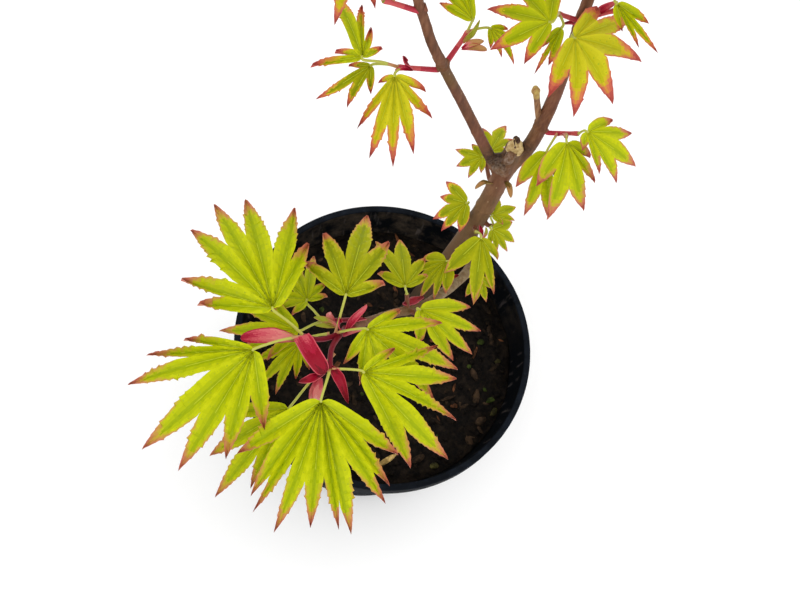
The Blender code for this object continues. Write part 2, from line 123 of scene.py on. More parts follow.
# Swellings round the fork and the first nodes: place and half sizes
COLLAR_LUMPS = (((39.6, 44.6, 311.5), (4.2, 3.6, 3.4)), ((42.8, 44.6, 322), (3.2, 2.8, 4.2)),
                ((43, 42.8, 309.5), (3.0, 2.6, 2.2)), ((39, 49, 314), (3.4, 3.2, 3.6)),
                ((-5.2, 46, 402), (3.5, 3.4, 2.4)), ((55.3, 55.8, 338), (4.3, 4.1, 2.6)),
                ((57.3, 72, 408), (3.7, 3.6, 2.6)))

COLLAR_TURN = 0.6
COLLAR_TILT = 0.2

# A height that stands for a limb's tip
AT_TIP = 1000.0

# Foliage: a mass is a stem that leaves a limb, with leaves on stalks
Mass = namedtuple("Mass", "name limb height turn rise reach leaves")
Leaf = namedtuple("Leaf", "along turn rise stalk swing dip roll blade lobes spread")
STEM_RADIUS = (1.5, 1.0)
STEM_SIDES = 4
STALK_RADIUS = 0.65
STALK_CREST = 0.06
BLADE_THICKNESS = 0.8
NECK_LENGTH = 3.0
NECK_HALF_WIDTH = 0.7
NECK_DEPTH = 0.45
LOBE_REACH = (1.0, 0.97, 0.84, 0.6)
LOBE_WIDTH = 0.105
SHOULDER = 0.6
SINUS = 0.47
LOBE_SHARE = 0.46
HEEL = 0.16
HEEL_WIDENING = 1.3
BRACT_WIDTH = 0.17
CLEARANCE = 0.6
DROOP = 0.16
SIDE_DROOP = 0.1

# The masses that the photo shows, and the leaves that each carries
SHOWN_MASSES = [
    Mass("leaves_low_tip", "low_branch", AT_TIP, 205, 38, 33, [
        Leaf(0.95, 154, 37, 23, -35, 6, 0, 56, 7, 18),
        Leaf(1.0, 212, 33, 30, 12, 4, 0, 64, 7, 17),
        Leaf(0.35, 196, -18, 17, 49, 20, 0, 29, 5, 22),
        Leaf(0.2, 90, 62, 20, -13, 12, 0, 41, 5, 30),
        Leaf(0.2, 336, 49, 18, 4, 10, 0, 46, 7, 20),
        Leaf(0.9, 180, 10, 2, 0, -8, 0, 27, 1, 0),
        Leaf(0.98, 304, 20, 2, 0, -14, 0, 21, 1, 0)]),
    Mass("leaves_low_front", "low_branch", 305, 246, 41, 42, [
        Leaf(0.95, 342, 36, 16, -16, 10, 0, 50, 7, 20),
        Leaf(1.0, 252, 38, 23, 16, 2, 0, 59, 7, 18),
        Leaf(0.5, 224, -4, 40, 8, 8, 0, 50, 7, 20),
        Leaf(0.98, 192, 2, 2, 0, -4, 0, 13, 1, 0),
        Leaf(0.9, 301, -5, 2, 0, 4, 0, 15, 1, 0)]),
    Mass("leaves_low_back", "low_branch", 301, 198, 36, 24, [
        Leaf(1.0, 138, 8, 12, -56, 15, 0, 22, 5, 28),
        Leaf(0.95, 212, 28, 14, -32, 5, 0, 36, 7, 22)]),
    Mass("leaves_mid_back", "low_branch", 268, 100, 45, 5, [
        Leaf(0.9, 100, 38, 9, -5, 16, 0, 28, 5, 32)]),
    Mass("leaves_mid_front", "low_branch", 267, 300, 45, 5, [
        Leaf(0.9, 300, 32, 7, 32, 10, 0, 35, 7, 20)]),
    Mass("leaves_near_back", "low_branch", 249, 140, 55, 6, [
        Leaf(0.9, 165, 42, 8, 12, 24, 0, 22, 5, 30)]),
    Mass("leaves_near_front", "low_branch", 244, 330, 5, 5, [
        Leaf(0.9, 300, 0, 4, -30, 15, 0, 21, 5, 28)]),
    Mass("leaves_trunk_front", "trunk", 252, 262, 55, 7, [
        Leaf(0.9, 265, 58, 16, -3, 6, -8, 35, 5, 28)]),
    Mass("leaves_trunk_left", "trunk", 252, 170, 40, 5, [
        Leaf(0.9, 165, 42, 7, 36, 22, 0, 23, 5, 32)]),
    Mass("leaves_trunk_right", "trunk", 254, 330, 45, 4, [
        Leaf(1.0, 5, 50, 7, 45, 4, 0, 20, 5, 27),
        Leaf(0.8, 320, 10, 6, 5, 28, 0, 18, 5, 30)]),
    Mass("leaves_fork_back", "trunk", 286, 110, 30, 9, [
        Leaf(0.95, 150, 10, 6, 35, 14, 0, 21, 5, 32),
        Leaf(0.95, 80, 40, 7, -5, 8, 0, 21, 5, 32)]),
    Mass("leaves_right_side", "leader_right", 337, 335, 40, 17, [
        Leaf(1.0, 330, 60, 11, -3, 8, 0, 31, 7, 24),
        Leaf(0.6, 258, 30, 15, 26, 16, 0, 37, 7, 20),
        Leaf(0.3, 241, 10, 14, 9, 16, 0, 36, 5, 25)]),
    Mass("leaves_right_front", "leader_right", 405, 243, 40, 10, [
        Leaf(1.0, 243, 42, 19, 85, 6, 0, 36, 7, 28)]),
    Mass("leaves_right_left", "leader_right", 408, 200, 38, 13, [
        Leaf(1.0, 222, 42, 17, -32, 5, 0, 29, 7, 30),
        Leaf(1.0, 265, 15, 8, -28, 36, 0, 25, 3, 16)]),
    Mass("leaves_right_outer", "leader_right", 410, 350, 42, 11, [
        Leaf(1.0, 243, 58, 21, 70, 5, 35, 27, 5, 16)]),
    Mass("leaves_left_side", "leader_left", 400, 190, 15, 18, [
        Leaf(1.0, 178, 25, 16, -57, 4, 0, 26, 7, 27),
        Leaf(0.95, 168, -25, 13, 47, 14, 0, 28, 7, 27),
        Leaf(0.9, 250, 30, 9, 17, 12, 0, 40, 7, 18)]),
    Mass("leaves_left_inner", "leader_left", 402, 55, 22, 14, [
        Leaf(1.0, 20, 30, 8, -30, 10, 0, 14, 5, 26),
        Leaf(0.9, 95, 35, 26, 150, 10, 0, 20, 5, 26)]),
    Mass("leaves_left_hang", "leader_left", 446, 190, 30, 17, [
        Leaf(1.0, 130, 30, 18, 132, 14, 0, 29, 7, 24),
        Leaf(0.7, 110, 30, 14, -10, 10, 0, 30, 7, 28)]),
]

# The upper crown grows by one rule: pairs of shoots, each pair a quarter turn on from the last
CROWN_SEED = 7
CROWN_PAIRS = {"leader_left": (478, 512, 546), "leader_right": (448, 487, 530)}
PAIR_TURN = {"leader_left": 95.0, "leader_right": 20.0}
SHOOT_REACH = (18.0, 30.0)
SHOOT_RISE = (22.0, 45.0)
CROWN_BLADE = (28.0, 38.0)
CROWN_STALK = (12.0, 22.0)
SHOOT_STRAY = 12.0
TOP_RISE = 72.0
TOP_REACH = 20.0
LEAF_TURNS = ((0.5, 80.0), (1.0, 42.0), (1.0, -42.0))
LEAF_TRIES = 8
LEAF_STRAY = 18.0
CROWN_RISE = (5.0, 40.0)
CROWN_SWING = 20.0
CROWN_DIP = (4.0, 26.0)
CROWN_ROLL = 14.0
CROWN_LOBES = (5, 7, 7)
CROWN_SPREAD = {5: (27.0, 33.0), 7: (20.0, 25.0)}
FRONT_Y = 64.0
FRONT_Z = 430.0
FRONT_SLOPE = 0.7

# Lobes of the leaves that show: turn from the blade's middle, reach and share of the usual width
Shown = namedtuple("Shown", "slide lobes greens", defaults=(None,))
Lobe = namedtuple("Lobe", "turn reach share", defaults=(1.0,))
SHOWN_LEAVES = {
    "leaves_low_tip": [
        Shown((-2, 0), [(-52, 39), (-37, 58), (-15, 67), (-2, 68), (13, 61), (41, 45), (57, 34)]),
        Shown((1, 0), [(-52, 31, 0.6), (-42, 47, 0.6), (-28, 56), (-1, 63), (16, 60), (34, 48), (56, 35)]),
        Shown((1, 0), [(-42, 24), (-18, 29), (0, 28), (19, 18), (45, 14)]),
        Shown((1, 0), [(-53, 21), (-19, 43), (0, 60), (27, 41), (61, 27)], "olive"),
        Shown((0, 0), [(-102, 20), (-75, 26), (-48, 38), (-20, 46), (5, 50), (32, 40), (55, 20)])],
    "leaves_low_front": [
        Shown((-3, -2), [(-24, 48), (-6, 56), (13, 50, 0.55), (36, 47), (58, 40, 0.6), (74, 19)]),
        Shown((1, -4), [(-55, 42), (-33, 50), (-28, 55, 0.6), (-16, 59), (-1, 54), (12, 55, 0.8),
                        (17, 58, 1.2), (37, 52), (44, 47, 0.6), (60, 41)]),
        Shown((1, 0), [(-47, 30), (-21, 42, 1.2), (-1, 52, 1.4), (14, 40), (32, 26)])],
    "leaves_low_back": [
        Shown((2, -1), [(-62, 11, 1.3), (-32, 15, 1.3), (1, 33), (22, 23), (50, 20), (88, 18, 1.2),
                        (122, 16, 1.3), (150, 12, 1.4)]),
        Shown((2, 1), [(-50, 20), (-25, 30), (-3, 38), (19, 29), (45, 20)])],
    "leaves_mid_back": [Shown((-5, 1), [(-62, 15), (-35, 24), (-3, 36), (19, 36), (52, 17)])],
    "leaves_mid_front": [Shown((-6, 5), [(-64, 19), (-24, 32), (-6, 37), (15, 36), (37, 30)])],
    "leaves_near_back": [
        Shown((-4.5, -2.5), [(-12, 14, 1.5), (14, 19, 1.5), (34, 22, 1.4), (52, 25, 1.5), (70, 22, 1.4),
                             (88, 18, 1.4)], "olive")],
    "leaves_near_front": [Shown((-4.5, -4), [(-32, 14), (-8, 15), (17, 15), (48, 10)])],
    "leaves_trunk_front": [Shown((1, 1), [(-36, 28, 1.2), (5, 36), (25, 31), (50, 15)])],
    "leaves_trunk_left": [Shown((-8, 1), [(-71, 19), (-39, 16), (1, 21), (23, 21), (53, 17)])],
    "leaves_trunk_right": [
        Shown((-1, 7), [(-95, 8), (-60, 13, 1.2), (-24, 16, 1.3), (20, 13, 1.2), (50, 9)]),
        Shown((-5, -3), [(-60, 9), (-32, 13), (-8, 16, 1.2), (18, 17, 1.3), (60, 15, 1.2)])],
    "leaves_fork_back": [
        Shown((-3, 1), [(-60, 10), (-28, 16), (13, 15), (50, 14), (78, 9)]),
        Shown((-1, -1), [(-60, 12), (-37, 19), (-13, 24), (27, 17), (58, 11)])],
    "leaves_right_side": [
        Shown((-2, -3), [(-72, 10), (-38, 21), (-22, 28), (8, 30), (41, 25), (63, 16)]),
        Shown((-3, 1), [(-46, 26), (-24, 38), (4, 34), (27, 24), (48, 14)]),
        Shown((0, 0), [(-20, 23), (2, 33), (23, 33), (45, 18)])],
    "leaves_right_front": [
        Shown((1, 2), [(-80, 29), (-57, 34), (-23, 32), (27, 34), (66, 37), (87, 24)])],
    "leaves_right_left": [
        Shown((-1, 4), [(-112, 20), (-62, 22), (-24, 27), (16, 28), (49, 21)]),
        Shown((0, 1), [(-14, 12), (1, 23), (13, 17)])],
    "leaves_right_outer": [Shown((-1, 0), [(-30, 12), (-16, 21), (-3, 27), (14, 16)])],
    "leaves_left_side": [
        Shown((0, 2), [(-91, 10), (-44, 16), (-31, 31, 0.8), (-13, 42, 0.8), (48, 12), (66, 22)],
              "lime"),
        Shown((0, -1), [(-36, 10), (-6, 28), (25, 21), (55, 13)], "olive"),
        Shown((0, -1), [(-60, 8), (-30, 28), (-12, 37), (4, 39), (19, 34), (48, 24), (70, 15)])],
    "leaves_left_inner": [
        Shown((3, -1.5), [(-76, 9), (-50, 13), (-31, 18), (-4, 13), (20, 9)]),
        Shown((17, 11), [(-142, 14), (-124, 20), (-105, 19), (-88, 16)])],
    "leaves_left_hang": [
        Shown((0, 0), [(-50, 16), (-11, 27), (8, 15), (27, 20), (55, 14)]),
        Shown((0, 0), [(-50, 17), (-25, 25), (0, 30), (25, 25), (50, 17)])],
}
# The lines of the rosette's two shoots as they show
SHOWN_STEMS = {
    "leaves_low_tip": [(-37, -47.5, 313), (-39.5, -50, 316), (-50.5, -57, 325), (-60, -58, 331.5)],
    "leaves_low_front": [(-39.5, -49.5, 315), (-42, -53, 318.5), (-46, -62.5, 327.5), (-47, -74.8, 334)],
}

# Fine leaves
LOOK_SEED = 11
FINE_THICKNESS = 0.32
# Half width of a lobe as a share of the blade, how soon it narrows to its tip, and the least and
# the greatest share of a lobe that is joined to its neighbour
Form = namedtuple("Form", "half power least greatest")
FORMS = {"slim": Form(0.09, 0.96, 0.4, 0.67), "lance": Form(0.1, 0.92, 0.38, 0.56),
         "broad": Form(0.14, 0.92, 0.5, 0.66), "blunt": Form(0.195, 0.98, 0.6, 0.74)}
# Neighbouring points of one lobe: how close they stand, in radians, and the share that they join
TWIN_TURN = 0.16
TWIN_JOINED = (0.8, 0.86)
FLARE_FADE = 0.09
LOBE_FLAT = 0.55
LOBE_SWELL = 0.45
LOBE_END = 0.985
OUTER_LIMIT = 54.0
# What chance adds: turn and reach of a drawn lobe, sway of its line, curl, width and joined part
TURN_STRAY = 3
REACH_STRAY = (0.92, 1.04)
CURL_STRAY = 0.12
WIDTH_STRAY = (0.9, 1.08)
JOINED_STRAY = 0.04
# Rows of points across a lobe, each value for a big blade (True) and a small one
INNER_ROWS = {True: 12, False: 8}
FREE_FROM = 0.3
BIG_BLADE = 40.0
TEETH = {True: 14, False: 8}
TOOTH_PARTS = ((0.0, 0.0), (0.5, 0.42), (0.92, 1.0))
TOOTH_SIZE = 0.011
TOOTH_SPREAD = (0.0, 2.4, 0.5)
TOOTH_START = (0.3, 0.62)
TOOTHLESS_TIP = 0.26
# How near to its neighbour, in radians, a margin has no teeth, and where it counts as free
TOOTHLESS_SINUS = 0.06
LOOSE_FROM = 0.03
# Columns of points from a lobe's vein out to its margin
VEIN_HALF_WIDTH = 0.15
VEIN_TAPER = 1.25
VEIN_WIDEST = 0.16
VEIN_LEAST = 0.02
VEIN_SHARE = 0.08
COLUMNS = (0.2, 0.5, 0.8, 0.94, 1.0)
BOUNDS = (0.0, VEIN_SHARE, *COLUMNS)
# Relief of a blade as shares of its size: pleats that flatten outwards, and ribs between its veins
PLEAT = 0.056
PLEAT_START = 0.3
PLEAT_FADE = (0.62, 0.4)
PLEAT_POWER = 1.3
HERRING = 0.0105
HERRING_PITCH = 0.095
CURL_FROM = 0.25

# Greens across half a lobe, from its vein to its margin: darker in the pleat's valley by the vein and lighter
# towards its ridge, partly the blade's own colour and partly painted shade and painted light; and how much
# darker the lines of the ribs are, painted shade of their relief
GREEN_STEPS = 7
PAINTED_SHADE_PLACES = (VEIN_SHARE, 0.2, 0.5, 0.8, 1.0)
PAINTED_SHADE_LEVELS = (0.22, 0.5, 0.82, 1.0, 0.95)
RIB_PAINTED_SHADE = 0.08
GREEN_STRAY = 0.22
# Where the pale vein ends; past it the midrib is painted dark green, painted shade in its valley
VEIN_END = 0.55
# Red of the margins and tips, each pair for no blush and what full blush adds
TINT_STEPS = 6
TINT_STRAY = 0.3
MARGIN_RED = 0.75
MARGIN_DEPTH = (0.015, 0.065)
MARGIN_START = (0.52, -0.52)
MARGIN_RISE = 0.45
# How the red margin deepens along a lobe, and how high and how close its waves are
MARGIN_GROWTH = (0.2, 1.3)
MARGIN_WAVES = (0.35, 31)
TIP_RED = (0.12, 0.4)
TIP_START = (0.86, -0.3)
BLUSH_STRAY = 0.06

# How a mass's leaves look: family of greens, family of tips, form and share of red
Look = namedtuple("Look", "greens tips form blush")
LOOKS = {
    "leaves_low_tip": Look("lime", "salmon", "slim", 0.22),
    "leaves_low_front": Look("lime", "salmon", "slim", 0.22),
    "leaves_low_back": Look("lime", "salmon", "slim", 0.3),
    "leaves_mid_back": Look("olive", "salmon", "broad", 0.2),
    "leaves_mid_front": Look("lime", "salmon", "broad", 0.35),
    "leaves_near_back": Look("olive", "salmon", "blunt", 0.3),
    "leaves_near_front": Look("olive", "salmon", "blunt", 0.3),
    "leaves_trunk_front": Look("olive", "salmon", "broad", 0.2),
    "leaves_trunk_left": Look("olive", "coral", "blunt", 0.7),
    "leaves_trunk_right": Look("olive", "salmon", "blunt", 0.3),
    "leaves_fork_back": Look("olive", "salmon", "blunt", 0.55),
    "leaves_right_side": Look("lime", "salmon", "blunt", 0.65),
    "leaves_right_front": Look("gold", "coral", "broad", 0.95),
    "leaves_right_left": Look("lime", "coral", "broad", 0.85),
    "leaves_right_outer": Look("lime", "coral", "broad", 0.4),
    "leaves_left_side": Look("gold", "coral", "lance", 0.55),
    "leaves_left_inner": Look("lime", "coral", "broad", 0.4),
    "leaves_left_hang": Look("gold", "coral", "broad", 0.85),
}
CROWN_GREENS = ("lime", "lime", "gold")
CROWN_BLUSH = (0.5, 1.0)
# Foliage is joined into pieces by where it grows
GROUPS = {
    "rosette": ("leaves_low_tip", "leaves_low_front", "leaves_low_back"),
    "branch": ("leaves_mid_back", "leaves_mid_front", "leaves_near_back", "leaves_near_front"),
    "fork": ("leaves_trunk_front", "leaves_trunk_left", "leaves_trunk_right", "leaves_fork_back"),
    "right": ("leaves_right_side", "leaves_right_front", "leaves_right_left", "leaves_right_outer"),
    "left": ("leaves_left_side", "leaves_left_inner", "leaves_left_hang"),
}

# Bracts and bud scales: middle line, half width, lean, curl of the edges, bluntness and colour
Scale = namedtuple("Scale", "line half lean curl blunt colour")
SCALES = {
    "rosette": [
        Scale([(-61.3, -60, 333), (-73.6, -60.7, 338), (-87.6, -62.6, 339)], 3.8, 4, 0.35, 0.8, "petal"),
        Scale([(-60.4, -58.6, 334), (-55.4, -69.1, 339), (-49.3, -77, 337)], 4.5, -14, 0.2, 1.0, "strap"),
        Scale([(-49.6, -76.1, 335), (-55.5, -80, 338), (-61, -81, 336)], 2.6, 20, 0.35, 0.3, "crimson"),
        Scale([(-46.5, -72.9, 334), (-42.5, -79.7, 337), (-38.2, -89.5, 333)], 3.1, 10, 0.4, 0.2, "crimson"),
        Scale([(-50.7, -77.4, 331), (-51.9, -84, 331), (-52, -88.5, 327)], 2.4, 0, 0.3, 0.8, "pale"),
        Scale([(-52.8, -78, 330), (-54.1, -83.8, 330), (-54.3, -87.6, 327)], 1.9, -20, 0.3, 0.8, "pale"),
        Scale([(-39.7, -52.3, 319), (-37.2, -47.4, 328), (-30.3, -41.9, 333)], 2.1, 50, 0.9, 0.6, "rose"),
        Scale([(-41.2, -50.9, 318), (-42.5, -49.6, 325), (-42.4, -46.6, 328)], 1.9, 60, 0.5, 0.6, "crimson"),
        Scale([(-40, -52.8, 319), (-35.2, -51.2, 322), (-29.4, -49.7, 321)], 1.8, -20, 0.4, 0.3, "pale"),
        Scale([(-42.7, -46.3, 314), (-48.7, -45.5, 318), (-54, -43.8, 318)], 2.2, 15, 0.6, 0.3, "bud"),
        Scale([(-44.1, -45, 314), (-46.3, -43.1, 318), (-46.9, -41, 318)], 1.8, -30, 0.6, 0.6, "pale"),
        Scale([(-43.2, -46.8, 314), (-48.2, -47.5, 318), (-53.4, -47.9, 318)], 1.6, -30, 0.6, 0.3, "scale"),
        Scale([(-36, -43.5, 309), (-32.1, -41.9, 311), (-28, -40.5, 309)], 1.7, -30, 0.6, 0.3, "crimson")],
    "fork": [
        Scale([(41, 28, 257), (40, 30.5, 262), (39, 33, 264)], 1.5, 0, 0.7, 0.3, "crimson"),
        Scale([(42, 28, 257), (43, 30, 261), (43, 33, 262)], 1.2, 20, 0.7, 0.3, "bud"),
        Scale([(39.5, 43.5, 295), (34.5, 41.5, 298.5), (29.5, 38, 299)], 1.9, 30, 0.7, 0.5, "dry"),
        Scale([(45.5, 43.5, 299), (47, 38.5, 302), (48.2, 33, 301)], 1.7, 10, 0.8, 0.6, "dry")],
    "branch": [
        Scale([(20, 3, 252), (24, 4, 257), (28, 5, 258)], 1.4, 20, 0.6, 0.4, "crimson"),
        Scale([(7.5, -10, 262.3), (1.5, -14, 267.6), (-5, -18.7, 272.8)], 2.4, 0, -0.5, 0.5, "crimson"),
        Scale([(6.5, -13.5, 259.5), (1.5, -16.5, 264), (-4, -21, 270)], 1.6, 40, -0.5, 0.4, "crimson")],
    "left": [
        Scale([(2.4, 51.6, 407), (6, 51.8, 411.5), (10.7, 51.7, 414)], 1.7, 30, 0.5, 0.6, "tan"),
        Scale([(2.4, 51.6, 407), (6.5, 50, 411), (12.2, 48, 413)], 1.8, 10, 0.5, 0.7, "tan"),
        Scale([(3, 55, 406.5), (6, 56.4, 412.5), (8.6, 60.1, 417)], 1.6, 40, 0.7, 0.2, "scale"),
        Scale([(-18.5, 43, 401.5), (-22, 43, 405.5), (-23.4, 45.6, 407.5)], 1.7, 30, 0.7, 0.5, "crimson"),
        Scale([(-18.5, 42.6, 401.5), (-23, 41, 405), (-26.8, 39.2, 406)], 1.5, -20, 0.7, 0.3, "rose")],
    "right": [
        Scale([(61, 70.5, 411), (64.5, 71.5, 416.5), (69.6, 72.8, 420.5)], 2.0, 30, 0.6, 0.4, "rose"),
        Scale([(54.5, 66, 409), (50.5, 64, 414), (45.5, 62.2, 416)], 1.5, 20, 0.6, 0.3, "crimson"),
        Scale([(54, 65.5, 409), (52.5, 62, 413), (51, 58.5, 415)], 1.4, -20, 0.6, 0.5, "pale"),
        Scale([(63.5, 49.5, 340.5), (64.4, 45.8, 348), (64.2, 41.5, 352)], 1.7, 10, 0.6, 0.6, "tan")],
}

# Colours as they look, in red, green and blue from 0 to 255: greens from a pleat's valley to its ridge,
# darker partly as painted shade and lighter partly as painted light, and tints from blade to tip
GREENS = {
    "lime": ((134, 154, 0), (190, 196, 8)),
    # gold: yellower greens of the crown's young leaves, partly their own colour and partly painted light
    # shining through them
    "gold": ((170, 170, 0), (206, 200, 34)),
    # olive: a darker, duller copy of the greens for leaves that lie deep among the limbs, painted shade
    "olive": ((120, 134, 0), (168, 170, 4)),
}
TIPS = {
    "salmon": ((182, 180, 30), (188, 166, 52), (192, 150, 70), (194, 134, 84), (194, 116, 90),
               (184, 98, 84)),
    "coral": ((204, 184, 36), (207, 162, 56), (208, 140, 70), (208, 120, 80), (200, 102, 82),
              (182, 84, 76)),
}
LEAF_COLOURS = {
    "vein": (190, 198, 52), "under": (166, 178, 28),
}
SCALE_COLOURS = {
    "deep": (108, 0, 22), "red": (142, 2, 34), "rose": (164, 16, 50), "rosy": (180, 44, 68),
    "pink": (200, 80, 94), "bloom": (208, 102, 108), "blush": (214, 122, 120), "edge": (222, 146, 146),
    "scale": (158, 164, 50), "tan": (184, 138, 86), "dry": (128, 104, 50),
}
SHOOT_COLOURS = {
    "shoot_deep": (116, 10, 34), "shoot_red": (176, 52, 68), "shoot_rose": (196, 82, 86),
    "shoot_brown": (122, 74, 56), "shoot_green": (150, 150, 60), "stalk": (182, 184, 84),
    "stalk_pink": (192, 142, 100),
}
# What a bract's tints are along it, each with where it ends, and along its edges
LAST = 2.0
SCALE_STEPS = {
    "petal": (("scale", 0.1), ("tan", 0.18), ("blush", 0.46), ("bloom", 0.64), ("pink", 0.8),
              ("rosy", 0.91), ("rose", LAST)),
    "strap": (("pink", 0.08), ("rosy", 0.18), ("rose", 0.42), ("red", 0.86), ("deep", LAST)),
    "rose": (("red", 0.25), ("rose", 0.45), ("rosy", 0.62), ("pink", 0.8), ("bloom", LAST)),
    "pale": (("pink", 0.3), ("blush", 0.7), ("edge", LAST)),
    "bud": (("blush", 0.25), ("tan", 0.45), ("scale", LAST)),
    "tan": (("rose", 0.2), ("blush", 0.4), ("tan", LAST)),
    "scale": (("tan", 0.15), ("scale", LAST)),
    "dry": (("dry", 0.5), ("tan", LAST)),
    "crimson": (("deep", 0.25), ("red", 0.75), ("deep", LAST)),
}
SCALE_EDGES = {"petal": "rose", "strap": "pink", "rose": "pink", "pale": "pink", "bud": "tan", "tan": "rose",
               "scale": "tan", "dry": "dry", "crimson": "pink"}
EDGE_FROM = 0.9
STEP_STRAY = 0.045
SCALE_ROWS = 20
SCALE_COLUMNS = 20
SCALE_THICKNESS = 0.4
SCALE_LEAST = 0.08
SCALE_FOLD = 0.05

# Stalks and shoots
SHOOT_SIDES = 12
SHOWN_GIRTH = 1.15
ROOT_DEPTH = 2.5
STALK_SIDES = 10
# Girth of a stalk: its usual share, what its foot and its neck add, and how soon they fade
STALK_USUAL = 0.9
STALK_SWELLS = (0.5, 0.3)
STALK_FADE = 8
# Girth that a shoot's foot adds and how soon it fades, and its node's girth, place and half length
SHOOT_FOOT = (0.35, 9)
SHOOT_NODE = (0.3, 0.97, 0.05)
STALK_PINK = 0.22
BROWN_PART = 0.3
RED_PART = 0.7

# Colours of the bark as they look
BARK_BROWNS = ((78, 49, 34), (106, 67, 47), (134, 93, 68))
BARK_MAUVE = (116, 68, 55)
BARK_OLIVE = (104, 84, 38)
BARK_LOW = (112, 92, 58)
# Painted shade: near black that the bark turns towards the foot of the trunk
BARK_FOOT_SHADE = (18, 14, 10)
BARK_PORES = (164, 136, 104)
BARK_SHADES = {
    "grey": ((0.38, (62, 46, 36)), (0.5, (132, 112, 98)), (0.66, (174, 160, 146))),
    # dark: painted shade in the crotch of the fork and beside the stub
    "dark": ((0.35, (34, 24, 18)), (0.65, (84, 60, 46))),
    "pale": ((0.3, (112, 94, 72)), (0.65, (158, 138, 108))),
}
# Grey wrinkled patches round the fork, a pale patch on the low branch, and dark ones that are painted shade
# in the crotch of the fork and beside the stub: place and reach in metres, and shade
BARK_MARKS = (((0.0335, 0.0465, 0.318), 0.0092, "dark"), ((0.0515, 0.0521, 0.324), 0.006, "dark"),
              ((0.0384, 0.0483, 0.317), 0.0068, "dark"), ((0.0392, 0.044, 0.3115), 0.0048, "grey"),
              ((0.0424, 0.0434, 0.323), 0.0044, "grey"), ((0.026, 0.003, 0.25), 0.022, "pale"))
# Dark and light of what has a grain
GRAIN_COLOURS = {
    "young_twig": ((112, 74, 52), (168, 126, 88)), "knob": ((150, 106, 66), (188, 166, 92)),
    # The cut's dark middle colours also stand as painted shade along its crack and on its splinter
    "cut_wood": ((158, 128, 78), (212, 188, 140)), "pith": ((40, 29, 22), (116, 86, 74)),
    # The mix's colours: its own dark brown made darker still as painted shade of the pot's wall
    "dry_rim": ((112, 98, 84), (178, 164, 146)), "peat": ((2, 1, 1), (22, 16, 11)),
    "crumb": ((10, 7, 4), (36, 26, 17)), "chip_brown": ((25, 18, 12), (54, 40, 28)),
    "chip_orange": ((46, 27, 15), (86, 52, 31)), "chip_tan": ((128, 104, 58), (180, 150, 92)),
    "moss": ((22, 29, 9), (50, 60, 20)), "dead_leaf": ((30, 28, 13), (62, 58, 28)),
}
# Colours of the pot: clean, wear and scuffed. Outside, the bluish wear and scuff tones are partly dust and
# marks and partly painted sheen; inside, the wear is brown dirt and the light scuff tone is partly painted
# sheen.
POT_OUTSIDE = ((12, 15, 20), (24, 29, 37), (42, 48, 58))
POT_INSIDE = ((7, 9, 12), (64, 55, 46), (104, 96, 94))

# What lies on the mix: the draw up to which a kind is taken, span of sizes, spans of width and height
# as shares of the size (or one share for all), and skins to choose from
LITTER_SKINS = ("peat", "crumb", "chip_brown", "chip_orange", "chip_tan", "moss", "dead_leaf")
LITTER_COUNT = 520
Kind = namedtuple("Kind", "until sizes widths heights skins")
LITTER_KINDS = (
    Kind(0.62, (0.8, 2.4), (0.6, 1), (0.4, 0.8), ("peat", "peat", "crumb")),
    Kind(0.93, (2.0, 5.2), (0.22, 0.5), (0.12, 0.22),
         ("peat", "crumb", "crumb", "chip_brown", "chip_brown", "chip_orange")),
    Kind(1.0, (0.8, 1.8), 1.0, 0.6, "moss"),
)
# The pieces of bark and tufts of moss that show best: place, half sizes, turn and skin
Chip = namedtuple("Chip", "x y length width turn skin")
LARGE_CHIPS = (
    Chip(5, -71, 8.0, 1.9, 35, "chip_tan"), Chip(63, 2, 4.5, 1.2, 70, "chip_orange"),
    Chip(44, -30, 5.0, 1.3, 20, "chip_brown"), Chip(72.7, -29.7, 3.2, 2.0, 20, "moss"),
    Chip(75, -37, 3.4, 1.8, 60, "dead_leaf"), Chip(35, -74, 2.8, 2.2, 0, "dead_leaf"),
    Chip(67, 10, 2.6, 2.0, 0, "moss"), Chip(78, -3, 2.2, 1.8, 40, "dead_leaf"),
    Chip(63.3, -28, 5.2, 2.6, 75, "chip_brown"), Chip(62, -12.7, 4.6, 2.2, 110, "chip_brown"),
    Chip(65.6, -44, 4.4, 2.4, 30, "chip_brown"), Chip(48, -35, 2.4, 1.6, 0, "chip_orange"),
    Chip(24.4, -70, 4.4, 2.2, 30, "chip_brown"), Chip(73, 18, 4.0, 1.8, 80, "chip_brown"))
CHIP_HEIGHT = 1.5
CHIP_LIFT = 0.6
CHIP_TILT = 0.05
# How far the litter stays from the wall, how high it lies as a share of its height, and its tilt
LITTER_EDGE = 4
LITTER_LIFT = 0.35
LITTER_TILT = 0.35
# How rough a crumb is, and how fine its roughness
LUMP_ROUGH = 0.45
LUMP_GRAIN = 1.3

# Bark: finer limbs grown into one skin, with a swelling at the foot of each bough
BARK_STEPS = 24
BARK_SIDES = 28
BARK_VOXEL = 0.62
BARK_EASING = 6
FOOT_SWELL = 0.3
SWELL_LENGTH = 6.0
# Relief of the bark: depth of the ridges, the rough patches and the rings, half height of a ring,
# how far the patches lie from the ridges in the noise, and the height below which they grow
RIDGE_DEPTH = 0.09
ROUGH_DEPTH = 0.06
RING_DEPTH = 0.22
RING_HALF = 1.1
RIDGE_GRAIN = (0.55, 0.55, 0.09)
ROUGH_GRAIN = (0.9, 0.9, 0.5)
ROUGH_PLACE = Vector((40, 0, 0))
ROUGH_BELOW = 260
ROUGH_LENGTH = 120
TWIG_STEPS = 6
TWIG_SIDES = 20
KNOB_RING = 21

